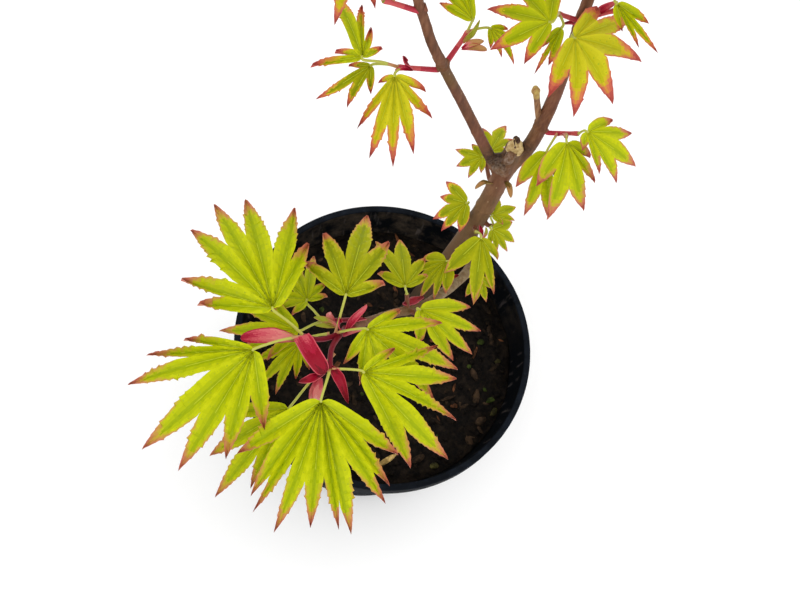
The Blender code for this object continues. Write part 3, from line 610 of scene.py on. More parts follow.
# Pruning cut: place of its face from the trunk's end, its direction, and its domed face, whose crack is
# painted shade
CUT_MOVE = (-0.6, -1.2, 1.6)
CUT_WAY = (-0.12, -0.42, 0.9)
CUT_RADIUS = 5.0
CUT_RINGS = 8
CUT_SEGMENTS = 40
CUT_DOME = 0.7
CUT_ROUGH = 0.55
CUT_DEPTH = 4.0
CUT_FOOT = 0.86
# The crack: painted shade on these segments, out to this ring
CRACK = (30, 31)
CRACK_RINGS = 5
SPLINTER = ((0.6, 3.6, 1.0), (1.5, 2.4, 2.2), 0.4, 0.5)

# Shallow steps of the pot's wall, its rounded edges, and where its skin counts as inside
POT_STEPS = (38.0, 42.0)
BAND_ROUND = 0.9
LIP_ROUND = 1.2
LIP_INNER_ROUND = 1.0
LEDGE_DEPTH = 1.5
POT_SHARP = 30.0
INSIDE_BELOW = 2
INSIDE_SLACK = 0.7
# Rings and segments of the mix's top
SOIL_RINGS = 72
SOIL_SEGMENTS = 200
# Bumps of the mix's top: how wide and how high
SOIL_PITCH = 0.045
SOIL_BUMPS = ((1.0, 2.2), (3.1, 1.3), (8.0, 0.9))

# Floor and lights, in metres and watts
FLOOR_REACH = 6
Light = namedtuple("Light", "name place power size")
LIGHTS = (Light("key", (-0.9, -0.9, 2.2), 10.6, 1.6), Light("fill", (1.2, 0.6, 1.8), 6.0, 1.8))
LIGHT_AIM = (0, 0, 0.25)
WORLD_STRENGTH = 1.08

# Camera: the photo's frame is 800 by 611 and its view looks down on the pot from the front
CAMERA_PLACE = (-0.079, -0.215, 0.812)
CAMERA_LEAN = (0.125, 0.338)
CAMERA_LENS = 49.5
CAMERA_SENSOR = 36.0


def heading(turn, rise):
    """Unit vector for a turn from X, seen from above, and an angle above level, in degrees."""
    flat = math.cos(math.radians(rise))
    return Vector((flat * math.cos(math.radians(turn)), flat * math.sin(math.radians(turn)),
                   math.sin(math.radians(rise))))


def polar(radius, angle):
    """A point on a circle round the origin."""
    return radius * math.cos(angle), radius * math.sin(angle)


def around(count):
    """Angles that stand evenly round a circle."""
    return [math.tau * i / count for i in range(count)]


def smooth_curve(bends, steps):
    """Points on a Catmull-Rom curve through the bends."""
    knots = [Vector(b) for b in bends]
    knots = [2 * knots[0] - knots[1], *knots, 2 * knots[-1] - knots[-2]]
    points = []
    for before, start, end, after in zip(knots, knots[1:], knots[2:], knots[3:]):
        for step in range(steps):
            t = step / steps
            points.append(0.5 * (2 * start + (end - before) * t
                                 + (2 * before - 5 * start + 4 * end - after) * t ** 2
                                 + (3 * start - before - 3 * end + after) * t ** 3))
    points.append(knots[-2])
    return points


def tube(points, radii, sides):
    """Points and faces of a closed tube round a line of points, with flat ends."""
    rings = []
    side = Vector((1, 0, 0))
    for index, point in enumerate(points):
        before = points[max(index - 1, 0)]
        after = points[min(index + 1, len(points) - 1)]
        along = (after - before).normalized()
        side = (side - along * side.dot(along)).normalized()
        across = along.cross(side)
        for angle in around(sides):
            rings.append(point + radii[index] * (side * math.cos(angle) + across * math.sin(angle)))
    faces = [list(range(sides))[::-1], list(range(len(rings) - sides, len(rings)))]
    for ring in range(len(points) - 1):
        for corner in range(sides):
            start = ring * sides
            after = (corner + 1) % sides
            faces.append([start + corner, start + after, start + sides + after, start + sides + corner])
    return rings, faces


def limb_line(limb, steps=LIMB_STEPS):
    """The points of a limb and its radius at each."""
    points = smooth_curve(limb.bends, steps)
    last = len(points) - 1
    radii = [limb.foot_radius + (limb.tip_radius - limb.foot_radius) * (i / last) ** limb.taper
             for i in range(last + 1)]
    return points, radii


def place_on_limb(limb, height):
    """Centre, direction and radius where a limb passes a height, or at its tip."""
    points, radii = limb_line(limb)
    for start, end, first, second in zip(points, points[1:], radii, radii[1:]):
        if end.z >= height:
            part = (height - start.z) / (end.z - start.z)
            return start.lerp(end, part), (end - start).normalized(), first + (second - first) * part
    return points[-1], (points[-1] - points[-2]).normalized(), radii[-1]


def trunk_radii(points, radii):
    """Radii with the root flare at the foot."""
    foot = points[0].z
    return [r + TRUNK_FLARE * math.exp(-(p.z - foot) / FLARE_HEIGHT) for p, r in zip(points, radii)]


def inner_radius(height):
    """Inside radius of the pot's wall at a height."""
    neck = RIM_RADIUS - RIM_PROUD
    return BASE_RADIUS + (neck - BASE_RADIUS) * height / POT_HEIGHT - WALL


def blade_frame(base, turn, dip, roll):
    """Axes of a blade at its base: X along its middle lobe, Z out of its face."""
    forward = heading(turn, -dip)
    left = Vector((0, 0, 1)).cross(forward).normalized()
    up = forward.cross(left)
    tilt = Matrix.Rotation(math.radians(roll), 3, forward)
    frame = Matrix((forward, tilt @ left, tilt @ up)).transposed().to_4x4()
    frame.translation = base
    return frame


def bent(size, across, along):
    """Height of the blade's face, which falls away towards its tips and sides."""
    return -DROOP * (along ** 2 + across ** 2) / size - SIDE_DROOP * across ** 2 / size


def blade_outline(leaf):
    """Corners of a coarse leaf or bract as (along, across), from one side of its base to the other."""
    size = leaf.blade
    if leaf.lobes == 1:
        half = BRACT_WIDTH * size
        return [(0, -half * 0.5), (size * 0.5, -half), (size, 0), (size * 0.5, half), (0, half * 0.5)]
    side = leaf.lobes // 2
    outline = []
    step = math.radians(leaf.spread)
    for lobe in range(-side, side + 1):
        reach = size * LOBE_REACH[abs(lobe)]
        turned = lobe * step
        half = min(math.atan2(LOBE_WIDTH * size, SHOULDER * reach), LOBE_SHARE * step)
        if lobe == -side:
            outline.append(polar(HEEL * size, turned - HEEL_WIDENING * half))
        outline += [polar(SHOULDER * reach, turned - half), polar(reach, turned),
                    polar(SHOULDER * reach, turned + half)]
        if lobe == side:
            outline.append(polar(HEEL * size, turned + HEEL_WIDENING * half))
        else:
            sinus = SINUS * size * LOBE_REACH[max(abs(lobe), abs(lobe + 1))]
            outline.append(polar(sinus, turned + 0.5 * step))
    return outline


def blade_faces(leaf, frame):
    """The coarse upper face of a blade, a fan of triangles round its base, with a neck behind."""
    neck = [(-NECK_LENGTH, -NECK_HALF_WIDTH), *blade_outline(leaf), (-NECK_LENGTH, NECK_HALF_WIDTH)]
    points = [frame.translation.copy()]
    for along, across in neck:
        points.append(frame @ Vector((along, across, bent(leaf.blade, across, max(along, 0)))))
    last = len(points) - 1
    fan = [[0, i, i + 1] for i in range(1, last)]
    fan.append([0, last, 1])
    return points, fan


def stem_line(mass):
    """The line of a mass's stem, which starts just clear of its limb."""
    centre, along, radius = place_on_limb(LIMBS[mass.limb], mass.height)
    way = heading(mass.turn, mass.rise)
    if mass.height == AT_TIP:
        start = centre + along * GAP
        outward = along
    else:
        outward = (way - along * way.dot(along)).normalized()
        start = centre + outward * (radius + GAP)
    bend = start + outward * STEM_RADIUS[0]
    return [start, bend, bend + way * mass.reach * 0.5, bend + way * mass.reach]


def stem_point(line, along):
    """A place on the straight part of a stem."""
    return line[1].lerp(line[-1], along)


def leaf_place(leaf, line):
    """The line of a leaf's stalk, from inside the stem to its neck, and the blade's frame."""
    start = stem_point(line, leaf.along)
    base = start + heading(leaf.turn, leaf.rise) * leaf.stalk
    frame = blade_frame(base, leaf.turn + leaf.swing, leaf.dip, leaf.roll)
    neck = frame @ Vector((-NECK_DEPTH * NECK_LENGTH, 0, -0.5 * BLADE_THICKNESS))
    crest = start.lerp(neck, 0.5) + Vector((0, 0, STALK_CREST * leaf.stalk))
    return [start, crest, neck], frame


def blade_surface(leaf, frame):
    """A blade's faces a little above and below it, to test what it would touch."""
    points, fan = blade_faces(leaf, frame)
    lifted = [p + frame.to_3x3() @ Vector((0, 0, CLEARANCE)) for p in points]
    sunk = [p - frame.to_3x3() @ Vector((0, 0, CLEARANCE + BLADE_THICKNESS)) for p in points]
    count = len(points)
    return BVHTree.FromPolygons(lifted + sunk, fan + [[i + count for i in face] for face in fan])


def tube_surface(points, radius):
    """A tube's faces, to test what it would touch."""
    rings, faces = tube(points, [radius] * len(points), STEM_SIDES)
    return BVHTree.FromPolygons(rings, faces)


class Space:
    """What the limbs and the masses already take up."""

    def __init__(self):
        self.taken = []
        for name, limb in LIMBS.items():
            points, radii = limb_line(limb)
            if name == "trunk":
                radii = trunk_radii(points, radii)
            rings, faces = tube(points, [r + 2 * GAP for r in radii], limb.sides)
            self.take(name, "wood", BVHTree.FromPolygons(rings, faces))
        self.take("stub_twig", "wood", tube_surface(limb_line(STUB_TWIG)[0], KNOB_RADIUS + GAP))

    def take(self, owner, kind, surface):
        """Keep a piece's space for its owner."""
        self.taken.append((owner, kind, surface))

    def free(self, owner, kind, surface):
        """True where a piece touches no other owner's, and no blade touches another blade."""
        for other, other_kind, taken in self.taken:
            if (other != owner or kind == other_kind == "blade") and taken.overlap(surface):
                return False
        return True

    def take_leaf(self, mass, leaf, line):
        """Take a leaf's space if all of it is free."""
        stalk, frame = leaf_place(leaf, line)
        kind = "bract" if leaf.lobes == 1 else "blade"
        blade = blade_surface(leaf, frame)
        twig = tube_surface(stalk[1:], STALK_RADIUS + GAP)
        if not (self.free(mass.name, kind, blade) and self.free(mass.name, "stalk", twig)):
            return False
        self.take(mass.name, kind, blade)
        self.take(mass.name, "stalk", twig)
        return True


def in_front(points):
    """True where a point would stand in front of the upper crown's front face."""
    return any(p.y < FRONT_Y - FRONT_SLOPE * (p.z - FRONT_Z) for p in points)


def crown_leaf(chance, along, turn):
    """One leaf of the upper crown, drawn by chance round a given turn."""
    lobes = chance.choice(CROWN_LOBES)
    return Leaf(along, turn + chance.uniform(-LEAF_STRAY, LEAF_STRAY), chance.uniform(*CROWN_RISE),
                chance.uniform(*CROWN_STALK), chance.uniform(-CROWN_SWING, CROWN_SWING),
                chance.uniform(*CROWN_DIP), chance.uniform(-CROWN_ROLL, CROWN_ROLL),
                chance.uniform(*CROWN_BLADE), lobes, chance.uniform(*CROWN_SPREAD[lobes]))


def crown_masses():
    """The shoots of the upper crown, with the leaves that each would carry."""
    chance = random.Random(CROWN_SEED)
    masses = []
    for limb, places in CROWN_PAIRS.items():
        side = limb.split("_")[1]
        for pair, height in enumerate(places):
            for half in range(2):
                turn = PAIR_TURN[limb] + 90 * pair + 180 * half + chance.uniform(-SHOOT_STRAY, SHOOT_STRAY)
                name = "leaves_%s_%d%s" % (side, pair + 1, "ab"[half])
                masses.append(Mass(name, limb, height, turn, chance.uniform(*SHOOT_RISE),
                                   chance.uniform(*SHOOT_REACH), crown_tries(chance, turn)))
        turn = PAIR_TURN[limb] + 90 * len(places)
        top = crown_tries(chance, turn) + crown_tries(chance, turn + 180)
        masses.append(Mass("leaves_%s_top" % side, limb, AT_TIP, turn, TOP_RISE, TOP_REACH, top))
    return masses


def crown_tries(chance, turn):
    """Several draws for each leaf of a shoot: one at its middle, a pair at its end."""
    return [[crown_leaf(chance, along, turn + offset) for _ in range(LEAF_TRIES)]
            for along, offset in LEAF_TURNS]


def grow_masses():
    """Every mass with its stem line and the leaves that find room."""
    space = Space()
    grown = []
    for mass in SHOWN_MASSES:
        line = stem_line(mass)
        kept = [leaf for leaf in mass.leaves if space.take_leaf(mass, leaf, line)]
        space.take(mass.name, "stem", tube_surface(line[1:], STEM_RADIUS[0] + GAP))
        grown.append((mass, line, kept))
    for mass in crown_masses():
        line = stem_line(mass)
        stem = tube_surface(line[1:], STEM_RADIUS[0] + GAP)
        if in_front(line[1:]) or not space.free(mass.limb, "stem", stem):
            continue
        kept = []
        for draws in mass.leaves:
            for leaf in draws:
                if in_front(blade_faces(leaf, leaf_place(leaf, line)[1])[0]):
                    continue
                if space.take_leaf(mass, leaf, line):
                    kept.append(leaf)
                    break
        if kept:
            space.take(mass.name, "stem", stem)
            grown.append((mass, line, kept))
    return grown


def linear(colour):
    """Linear light from a colour as it looks, with full cover."""
    shares = [c / 255 for c in colour]
    return (*(c / 12.92 if c <= 0.04045 else ((c + 0.055) / 1.055) ** 2.4 for c in shares), 1.0)


# Places of the colour sockets of a Mix node
MIX_FIRST, MIX_SECOND, MIX_RESULT = 6, 7, 2


class Nodes:
    """A material's node tree, with short ways to add and join nodes."""

    def __init__(self, name, roughness, specular):
        self.material = bpy.data.materials.new(name)
        self.material.use_nodes = True
        self.tree = self.material.node_tree
        self.shader = self.tree.nodes["Principled BSDF"]
        self.feed(self.shader, {"Roughness": roughness, "Specular IOR Level": specular})
        self.place = self.add("ShaderNodeTexCoord", {}).outputs["Object"]

    def feed(self, node, inputs):
        """Set a node's inputs to numbers or colours, or link them to the outputs that feed them."""
        for key, value in inputs.items():
            if isinstance(value, bpy.types.NodeSocket):
                self.tree.links.new(value, node.inputs[key])
            else:
                node.inputs[key].default_value = value

    def add(self, kind, inputs, **settings):
        """A new node with its settings and its inputs."""
        node = self.tree.nodes.new(kind)
        for key, value in settings.items():
            setattr(node, key, value)
        self.feed(node, inputs)
        return node

    def stretched(self, scale):
        """The object's own coordinates, scaled by a vector."""
        return self.add("ShaderNodeMapping", {"Scale": scale, "Vector": self.place}).outputs["Vector"]

    def axis(self, name):
        """One of the object's own coordinates, in metres."""
        return self.add("ShaderNodeSeparateXYZ", {"Vector": self.place}).outputs[name]

    def noise(self, scale, detail=4.0, rough=0.5, place=None):
        """Cloudy noise from 0 to 1; scale counts its grains in a metre."""
        inputs = {"Scale": scale, "Detail": detail, "Roughness": rough, "Vector": place or self.place}
        return self.add("ShaderNodeTexNoise", inputs).outputs["Fac"]

    def cells(self, scale, place=None, feature="F1"):
        """Distances within a pattern of cells."""
        inputs = {"Scale": scale, "Vector": place or self.place}
        return self.add("ShaderNodeTexVoronoi", inputs, feature=feature).outputs["Distance"]

    def ramp(self, value, stops):
        """Linear colours along a value; a stop is a position and a colour."""
        node = self.add("ShaderNodeValToRGB", {"Fac": value})
        marks = node.color_ramp.elements
        while len(marks) < len(stops):
            marks.new(0.5)
        for mark, (position, colour) in zip(marks, stops):
            mark.position = position
            mark.color = colour
        return node.outputs["Color"]

    def tones(self, value, *stops):
        """Colours as they look along a value; a stop is a position and a colour."""
        return self.ramp(value, [(position, linear(colour)) for position, colour in stops])

    def mask(self, value, *stops):
        """Grey levels along a value, to mix by; a stop is a position and a level."""
        return self.ramp(value, [(position, (level, level, level, 1.0)) for position, level in stops])

    def share(self, value, start, end, most=1.0):
        """A share that grows from nothing to its most between two values."""
        inputs = {"Value": value, "From Min": start, "From Max": end, "To Max": most}
        return self.add("ShaderNodeMapRange", inputs).outputs["Result"]

    def mix(self, share, first, second, blend="MIX"):
        """A colour between two, or the blend of both."""
        inputs = {"Factor": share, MIX_FIRST: first, MIX_SECOND: second}
        return self.add("ShaderNodeMix", inputs, data_type="RGBA", blend_type=blend).outputs[MIX_RESULT]

    def colour(self, value):
        """Colour the surface."""
        self.feed(self.shader, {"Base Color": value})

    def roughness(self, value, low, high):
        """Roughness that follows a value from low to high."""
        mapped = self.add("ShaderNodeMapRange", {"Value": value, "To Min": low, "To Max": high})
        self.feed(self.shader, {"Roughness": mapped.outputs["Result"]})

    def bump(self, height, distance, strength):
        """Fine relief, at most a distance in millimetres deep."""
        inputs = {"Height": height, "Distance": distance * MM, "Strength": strength}
        self.feed(self.shader, {"Normal": self.add("ShaderNodeBump", inputs).outputs["Normal"]})


def leaf_colours():
    """Every plain tint of the leaves by name."""
    colours = dict(LEAF_COLOURS)
    for family, (valley, ridge) in GREENS.items():
        for step in range(GREEN_STEPS):
            share = step / (GREEN_STEPS - 1)
            colours["%s_%d" % (family, step)] = [v + (r - v) * share for v, r in zip(valley, ridge)]
    for family, tints in TIPS.items():
        for step, tint in enumerate(tints):
            colours["%s_%d" % (family, step + 1)] = tint
    return colours


# Slots of the leaf tints, and the underside that each upper tint has
LEAF_SLOTS = {name: number for number, name in enumerate(leaf_colours())}
UNDER_SLOTS = {number: LEAF_SLOTS["under"] for name, number in LEAF_SLOTS.items()
               if name.split("_")[0] in GREENS or name == "vein"}


def leaf_material(name, colour):
    """A plain tint with the fine net of veins and the soft shine of young leaf skin."""
    nodes = Nodes(name, 0.55, 0.12)
    nodes.colour(linear(colour))
    net = nodes.cells(950.0, feature="DISTANCE_TO_EDGE")
    nodes.roughness(nodes.noise(420.0), 0.47, 0.65)
    nodes.bump(net, 0.1, 0.4)
    return nodes.material


def shoot_material(name, colour):
    """Smooth young skin with faint streaks along it."""
    nodes = Nodes(name, 0.42, 0.16)
    nodes.colour(linear(colour))
    fibres = nodes.noise(900.0, 3.0)
    nodes.roughness(fibres, 0.34, 0.54)
    nodes.bump(fibres, 0.08, 0.5)
    return nodes.material


def bark_material():
    """Young bark with streaks and pores, olive below, with painted shade darkening its foot, grey marks round
    the fork, a pale patch on the low branch, and painted shade in the fork's crotch and beside the stub.
    """
    nodes = Nodes("bark_skin", 0.65, 0.2)
    streaks = nodes.noise(420.0, 5.0, 0.6, nodes.stretched((1.0, 1.0, 0.16)))
    broad = nodes.noise(34.0, 3.0)
    brown = nodes.tones(streaks, *zip((0.3, 0.5, 0.72), BARK_BROWNS))
    mauve = nodes.mix(nodes.mask(broad, (0.42, 0.0), (0.62, 0.5)), brown, linear(BARK_MAUVE))
    tinted = nodes.mask(nodes.noise(24.0, 2.0), (0.5, 0.0), (0.7, 0.6))
    olive = nodes.mix(tinted, mauve, linear(BARK_OLIVE))
    height = nodes.axis("Z")
    olive = nodes.mix(nodes.share(height, 0.32, 0.25, 0.6), olive, linear(BARK_LOW))
    pores = nodes.cells(230.0, nodes.stretched((1.0, 1.0, 0.5)))
    spots = nodes.mask(pores, (0.06, 0.5), (0.12, 0.0))
    skin = nodes.mix(spots, olive, linear(BARK_PORES))
    wrinkles = nodes.noise(650.0, 5.0, 0.7)
    shades = {name: nodes.tones(wrinkles, *stops) for name, stops in BARK_SHADES.items()}
    patches = nodes.mask(nodes.noise(300.0, 2.0), (0.36, 0.35), (0.52, 1.0))
    # Grey and pale patches of bark, and dark marks that are painted shade in the crotch
    for place, reach, shade in BARK_MARKS:
        distance = nodes.add("ShaderNodeVectorMath", {0: nodes.place, 1: place}, operation="DISTANCE")
        near = nodes.mask(distance.outputs["Value"], (0.5 * reach, 0.9), (reach, 0.0))
        skin = nodes.mix(nodes.mix(1.0, near, patches, "MULTIPLY"), skin, shades[shade])
    # Painted shade darkens the bark towards its foot
    nodes.colour(nodes.mix(nodes.share(height, 0.25, 0.17, 0.8), skin, linear(BARK_FOOT_SHADE)))
    nodes.roughness(streaks, 0.55, 0.8)
    nodes.bump(nodes.mix(0.35, streaks, spots), 0.25, 0.7)
    return nodes.material


def twig_material(name):
    """Fibrous young wood."""
    nodes = Nodes(name, 0.6, 0.25)
    fibres = nodes.noise(700.0, 4.0, 0.5, nodes.stretched((1.0, 1.0, 0.2)))
    nodes.colour(nodes.tones(fibres, *zip((0.34, 0.66), GRAIN_COLOURS[name])))
    nodes.roughness(fibres, 0.5, 0.75)
    nodes.bump(fibres, 0.15, 0.6)
    return nodes.material


def cut_material():
    """The weathered face of a pruning cut."""
    nodes = Nodes("cut_wood", 0.8, 0.3)
    grain = nodes.noise(700.0)
    nodes.colour(nodes.tones(grain, *zip((0.35, 0.65), GRAIN_COLOURS["cut_wood"])))
    nodes.bump(grain, 0.3, 0.8)
    return nodes.material


def rim_material():
    """The grey rim of dried bark round the cut."""
    nodes = Nodes("dry_rim", 0.85, 0.2)
    crumbs = nodes.noise(800.0)
    nodes.colour(nodes.tones(crumbs, *zip((0.36, 0.66), GRAIN_COLOURS["dry_rim"])))
    nodes.roughness(crumbs, 0.75, 0.95)
    nodes.bump(crumbs, 0.3, 0.8)
    return nodes.material


def pot_material(name, clean, wear_and_sheen, marks, back_only):
    """Black moulded plastic with fine scuff marks, and dust all round or dirt on the back wall only; the
    lighter scuff marks, and the bluish dust outside, are partly painted sheen.
    """
    nodes = Nodes(name, 0.5, 0.04)
    dust = nodes.noise(70.0, 6.0, 0.68)
    scuffs_and_sheen = nodes.noise(240.0, 3.0, 0.5, nodes.stretched((1.0, 1.0, 0.12)))
    base = nodes.tones(dust, (0.42, clean), (0.7, wear_and_sheen))
    if back_only:
        base = nodes.mix(nodes.share(nodes.axis("Y"), 0.0, 0.08), linear(clean), base)
    # Lighter scuff streaks, partly painted sheen
    nodes.colour(nodes.mix(nodes.mask(scuffs_and_sheen, (0.6, 0.0), (0.74, 0.35)), base, linear(marks)))
    nodes.roughness(dust, 0.6, 0.8)
    nodes.bump(nodes.noise(1400.0, 2.0), 0.05, 0.6)
    return nodes.material


def peat_material(name):
    """Moist fibrous mix: dark crumbs with lighter strands; the mix itself is darker still as painted shade,
    and the cut's dark middle serves as painted shade in its crack.
    """
    nodes = Nodes(name, 0.9, 0.1)
    dark, light = GRAIN_COLOURS[name]
    crumbs = nodes.noise(420.0, 6.0, 0.65)
    clods = nodes.noise(150.0, 2.0)
    grain = nodes.tones(crumbs, (0.38, dark), (0.68, light))
    loose = nodes.tones(crumbs, (0.34, light), (0.7, [1.3 * c + 8 for c in light]))
    nodes.colour(nodes.mix(nodes.mask(clods, (0.5, 0.0), (0.64, 0.85)), grain, loose))
    nodes.roughness(clods, 0.7, 1.0)
    nodes.bump(crumbs, 0.6, 0.9)
    return nodes.material


class Batch:
    """Points, faces and slots that become one joined mesh."""

    def __init__(self):
        self.points = []
        self.faces = []
        self.slots = []

    def add(self, points, faces, slots):
        """Add a part; slots is one number for all of its faces, or a list with one for each."""
        start = len(self.points)
        self.points.extend(tuple(p) for p in points)
        self.faces.extend([i + start for i in face] for face in faces)
        self.slots.extend([slots] * len(faces) if isinstance(slots, int) else slots)

    def piece(self, name, materials, sharp=40.0):
        """The batch as an object, smooth but for edges of at least so many degrees."""
        mesh = bpy.data.meshes.new(name)
        mesh.from_pydata((np.array(self.points) * MM).tolist(), [], self.faces)
        for material in materials:
            mesh.materials.append(material)
        mesh.polygons.foreach_set("material_index", self.slots)
        mesh.shade_smooth()
        mesh.set_sharp_from_angle(angle=math.radians(sharp))
        return placed(name, mesh)


def thicken(points, faces, slots, away, under):
    """Close a sheet into a thin solid: an underside away from it, and a rim round its free edges."""
    count = len(points)
    rims = {}
    for number, face in enumerate(faces):
        for first, second in zip(face, face[1:] + face[:1]):
            if (second, first) in rims:
                del rims[(second, first)]
            else:
                rims[(first, second)] = number
    below = [[i + count for i in reversed(face)] for face in faces]
    sides = [[first, first + count, second + count, second] for first, second in rims]
    rim_slots = [slots[number] for number in rims.values()]
    return (np.concatenate([points, points + away]), faces + below + sides,
            slots + [under.get(s, s) for s in slots] + rim_slots)


def lobe_shape(t, power):
    """Half width of a lobe along its length, as a share of its widest."""
    s = np.clip((t - LOBE_FLAT) / (1 - LOBE_FLAT), 0, 1)
    return (1 - s) ** power * (1 + LOBE_SWELL * s)


def eased(value, low, high):
    """A share that grows smoothly from nothing to one between two values."""
    t = np.clip((value - low) / (high - low), 0, 1)
    return t * t * (3 - 2 * t)


def leaf_rows(size):
    """Distances of a leaf's rows from its base, and how far along its tooth each row is."""
    teeth = TEETH[size >= BIG_BLADE]
    inner = INNER_ROWS[size >= BIG_BLADE]
    rows = [(FREE_FROM * (i + 1) / inner, 0.0) for i in range(inner - 1)]
    for tooth in range(teeth):
        rows += [(FREE_FROM + (1 - FREE_FROM) * (tooth + part) / teeth, rise) for part, rise in TOOTH_PARTS]
    rows = np.array(rows)
    return rows[:, 0] * size, rows[:, 1]


def leaf_lobes(leaf, shown, chance):
    """A leaf's lobes from one side to the other, with their turns in radians."""
    if shown:
        return [Lobe(*lobe)._replace(turn=math.radians(lobe[0])) for lobe in shown.lobes]
    side = leaf.lobes // 2
    return [Lobe(math.radians(i * leaf.spread + chance.uniform(-TURN_STRAY, TURN_STRAY)),
                 leaf.blade * LOBE_REACH[abs(i)] * chance.uniform(*REACH_STRAY))
            for i in range(-side, side + 1)]


class Blade:
    """A fine leaf as it grows: joined lobes with toothed margins, pleats, ribs and veins."""

    def __init__(self, leaf, chance, look, shown):
        self.leaf, self.chance, self.look = leaf, chance, look
        self.lobes = leaf_lobes(leaf, shown, chance)
        self.slide = shown.slide if shown else (0, 0)
        self.size = max(lobe.reach for lobe in self.lobes)
        self.form = FORMS[look.form]
        self.rows, self.rises = leaf_rows(self.size)
        sway = [math.radians(chance.uniform(-TURN_STRAY, TURN_STRAY)) for _ in self.lobes]
        self.midrib = [lobe.turn + bend * ((self.rows / lobe.reach) ** 2 - 1)
                       for lobe, bend in zip(self.lobes, sway)]
        self.turns = [lobe.turn for lobe in self.lobes]
        self.curl = [chance.uniform(-CURL_STRAY, CURL_STRAY) for _ in self.lobes]
        self.points = [(*self.slide, bent(leaf.blade, self.slide[1], self.slide[0]))]
        self.faces, self.slots = [], []
        self.index_of = {}

    def height(self, x, y, share, angle, fold):
        """How high a point stands: share is its distance out, and fold goes from vein to margin."""
        fade, fade_from = PLEAT_FADE
        pleat = PLEAT * self.size * min(share / PLEAT_START, 1)
        pleat *= 1 - fade * float(eased(share, fade_from, 1.0))
        wave = math.cos(math.tau * (share / HERRING_PITCH - fold))
        ribs = HERRING * self.size * 4 * fold * (1 - fold) * wave
        curl = float(np.interp(angle, self.turns, self.curl)) * self.size * max(0, share - CURL_FROM) ** 2
        return bent(self.leaf.blade, y, x) + pleat * fold ** PLEAT_POWER - ribs + curl

    def point_at(self, row, radius, angle, fold):
        """The number of the point at a row and an angle, shared with the neighbouring lobe."""
        key = (row, round(angle * 1e4))
        if key not in self.index_of:
            x, y = (start + move for start, move in zip(self.slide, polar(radius, angle)))
            self.index_of[key] = len(self.points)
            self.points.append((x, y, self.height(x, y, radius / self.size, angle, fold)))
        return self.index_of[key]

    def joined(self, i, way, wide):
        """Where a lobe meets its neighbour: the line between them, its half width and its flare."""
        lobe, other = self.lobes[i], self.lobes[i + way]
        limit = way * 0.5 * (self.midrib[i + way] - self.midrib[i])
        near = min(lobe.reach, other.reach)
        between = abs(other.turn - lobe.turn)
        gap = math.tan(0.5 * between)
        low, high = TWIN_JOINED if between < TWIN_TURN else (self.form.least, self.form.greatest)
        wide = min(wide, high * near * gap * self.chance.uniform(*WIDTH_STRAY))
        foot = near * (low + self.chance.uniform(-JOINED_STRAY, JOINED_STRAY))
        missing = max(0.0, foot * gap - wide * float(lobe_shape(foot / lobe.reach, self.form.power)))
        fading = missing * np.exp((foot - self.rows) / (FLARE_FADE * near))
        return limit, wide, np.where(self.rows < foot, self.size, fading)

    def bite(self, t):
        """How far the teeth stand out at each row; t is how far along the lobe the rows are."""
        parts, count = len(TOOTH_PARTS), len(self.rows)
        shift = self.chance.randrange(parts)
        sizes = np.array([self.chance.triangular(*TOOTH_SPREAD) for _ in range(count // parts + 2)])
        sizes = sizes[(np.arange(count) + parts - shift) // parts]
        grown = TOOTH_SIZE * self.size * eased(t, *TOOTH_START)
        return np.roll(self.rises, shift) * sizes * grown * eased(1 - t, 0.0, TOOTHLESS_TIP)

    def margin(self, i, way, t):
        """How far half a lobe spreads at each row, in radians, and whether its margin is free."""
        reach, share = self.lobes[i].reach, self.lobes[i].share
        wide = self.form.half * self.size * share * (reach / self.size) ** 0.5
        if 0 <= i + way < len(self.lobes):
            limit, wide, flare = self.joined(i, way, wide)
        else:
            limit = np.full(len(self.rows), math.radians(OUTER_LIMIT))
            flare = np.zeros(len(self.rows))
        smooth = wide * lobe_shape(t, self.form.power) + flare
        plain = np.arctan2(smooth, self.rows)
        half = smooth + self.bite(t) * eased(limit - plain, 0.0, TOOTHLESS_SINUS)
        return np.minimum(limit, np.arctan2(half, self.rows)), eased(limit - plain, 0.0, LOOSE_FROM) > 0.5

    def grow(self, i, way):
        """The points and faces of half a lobe, from its base to its tip."""
        turn, reach, _ = self.lobes[i]
        t = self.rows / reach
        last = int(np.searchsorted(self.rows, reach * LOBE_END))
        spread, loose = self.margin(i, way, t)
        vein = VEIN_HALF_WIDTH * (VEIN_TAPER - t) / np.maximum(self.rows * spread, 0.1)
        vein = np.clip(vein, VEIN_LEAST, VEIN_WIDEST)
        lines = [[0] * len(BOUNDS)]
        for row in range(last):
            lines.append([self.point_at(row, self.rows[row], self.midrib[i][row] + way * spread[row] * c, c)
                          for c in (0.0, float(vein[row]), *COLUMNS)])
        lines.append([self.point_at(("tip", i), reach, turn, 0.0)] * len(BOUNDS))
        for row, (before, after) in enumerate(zip(lines, lines[1:])):
            here = min(row, last - 1)
            along = float(t[row]) if row < last else 1.0
            edge = float(self.rows[here] * spread[here]) if loose[here] else self.size
            out = self.rows[here] / self.size
            for column, across in enumerate(0.5 * (low + high) for low, high in zip(BOUNDS, BOUNDS[1:])):
                square = (before[column], after[column], after[column + 1], before[column + 1])
                face = list(dict.fromkeys(square))
                if len(face) > 2:
                    near = (1 - across) * edge / self.size
                    self.faces.append(face[::way])
                    self.slots.append(blade_slot(self.chance, self.look, along, across, near, out))


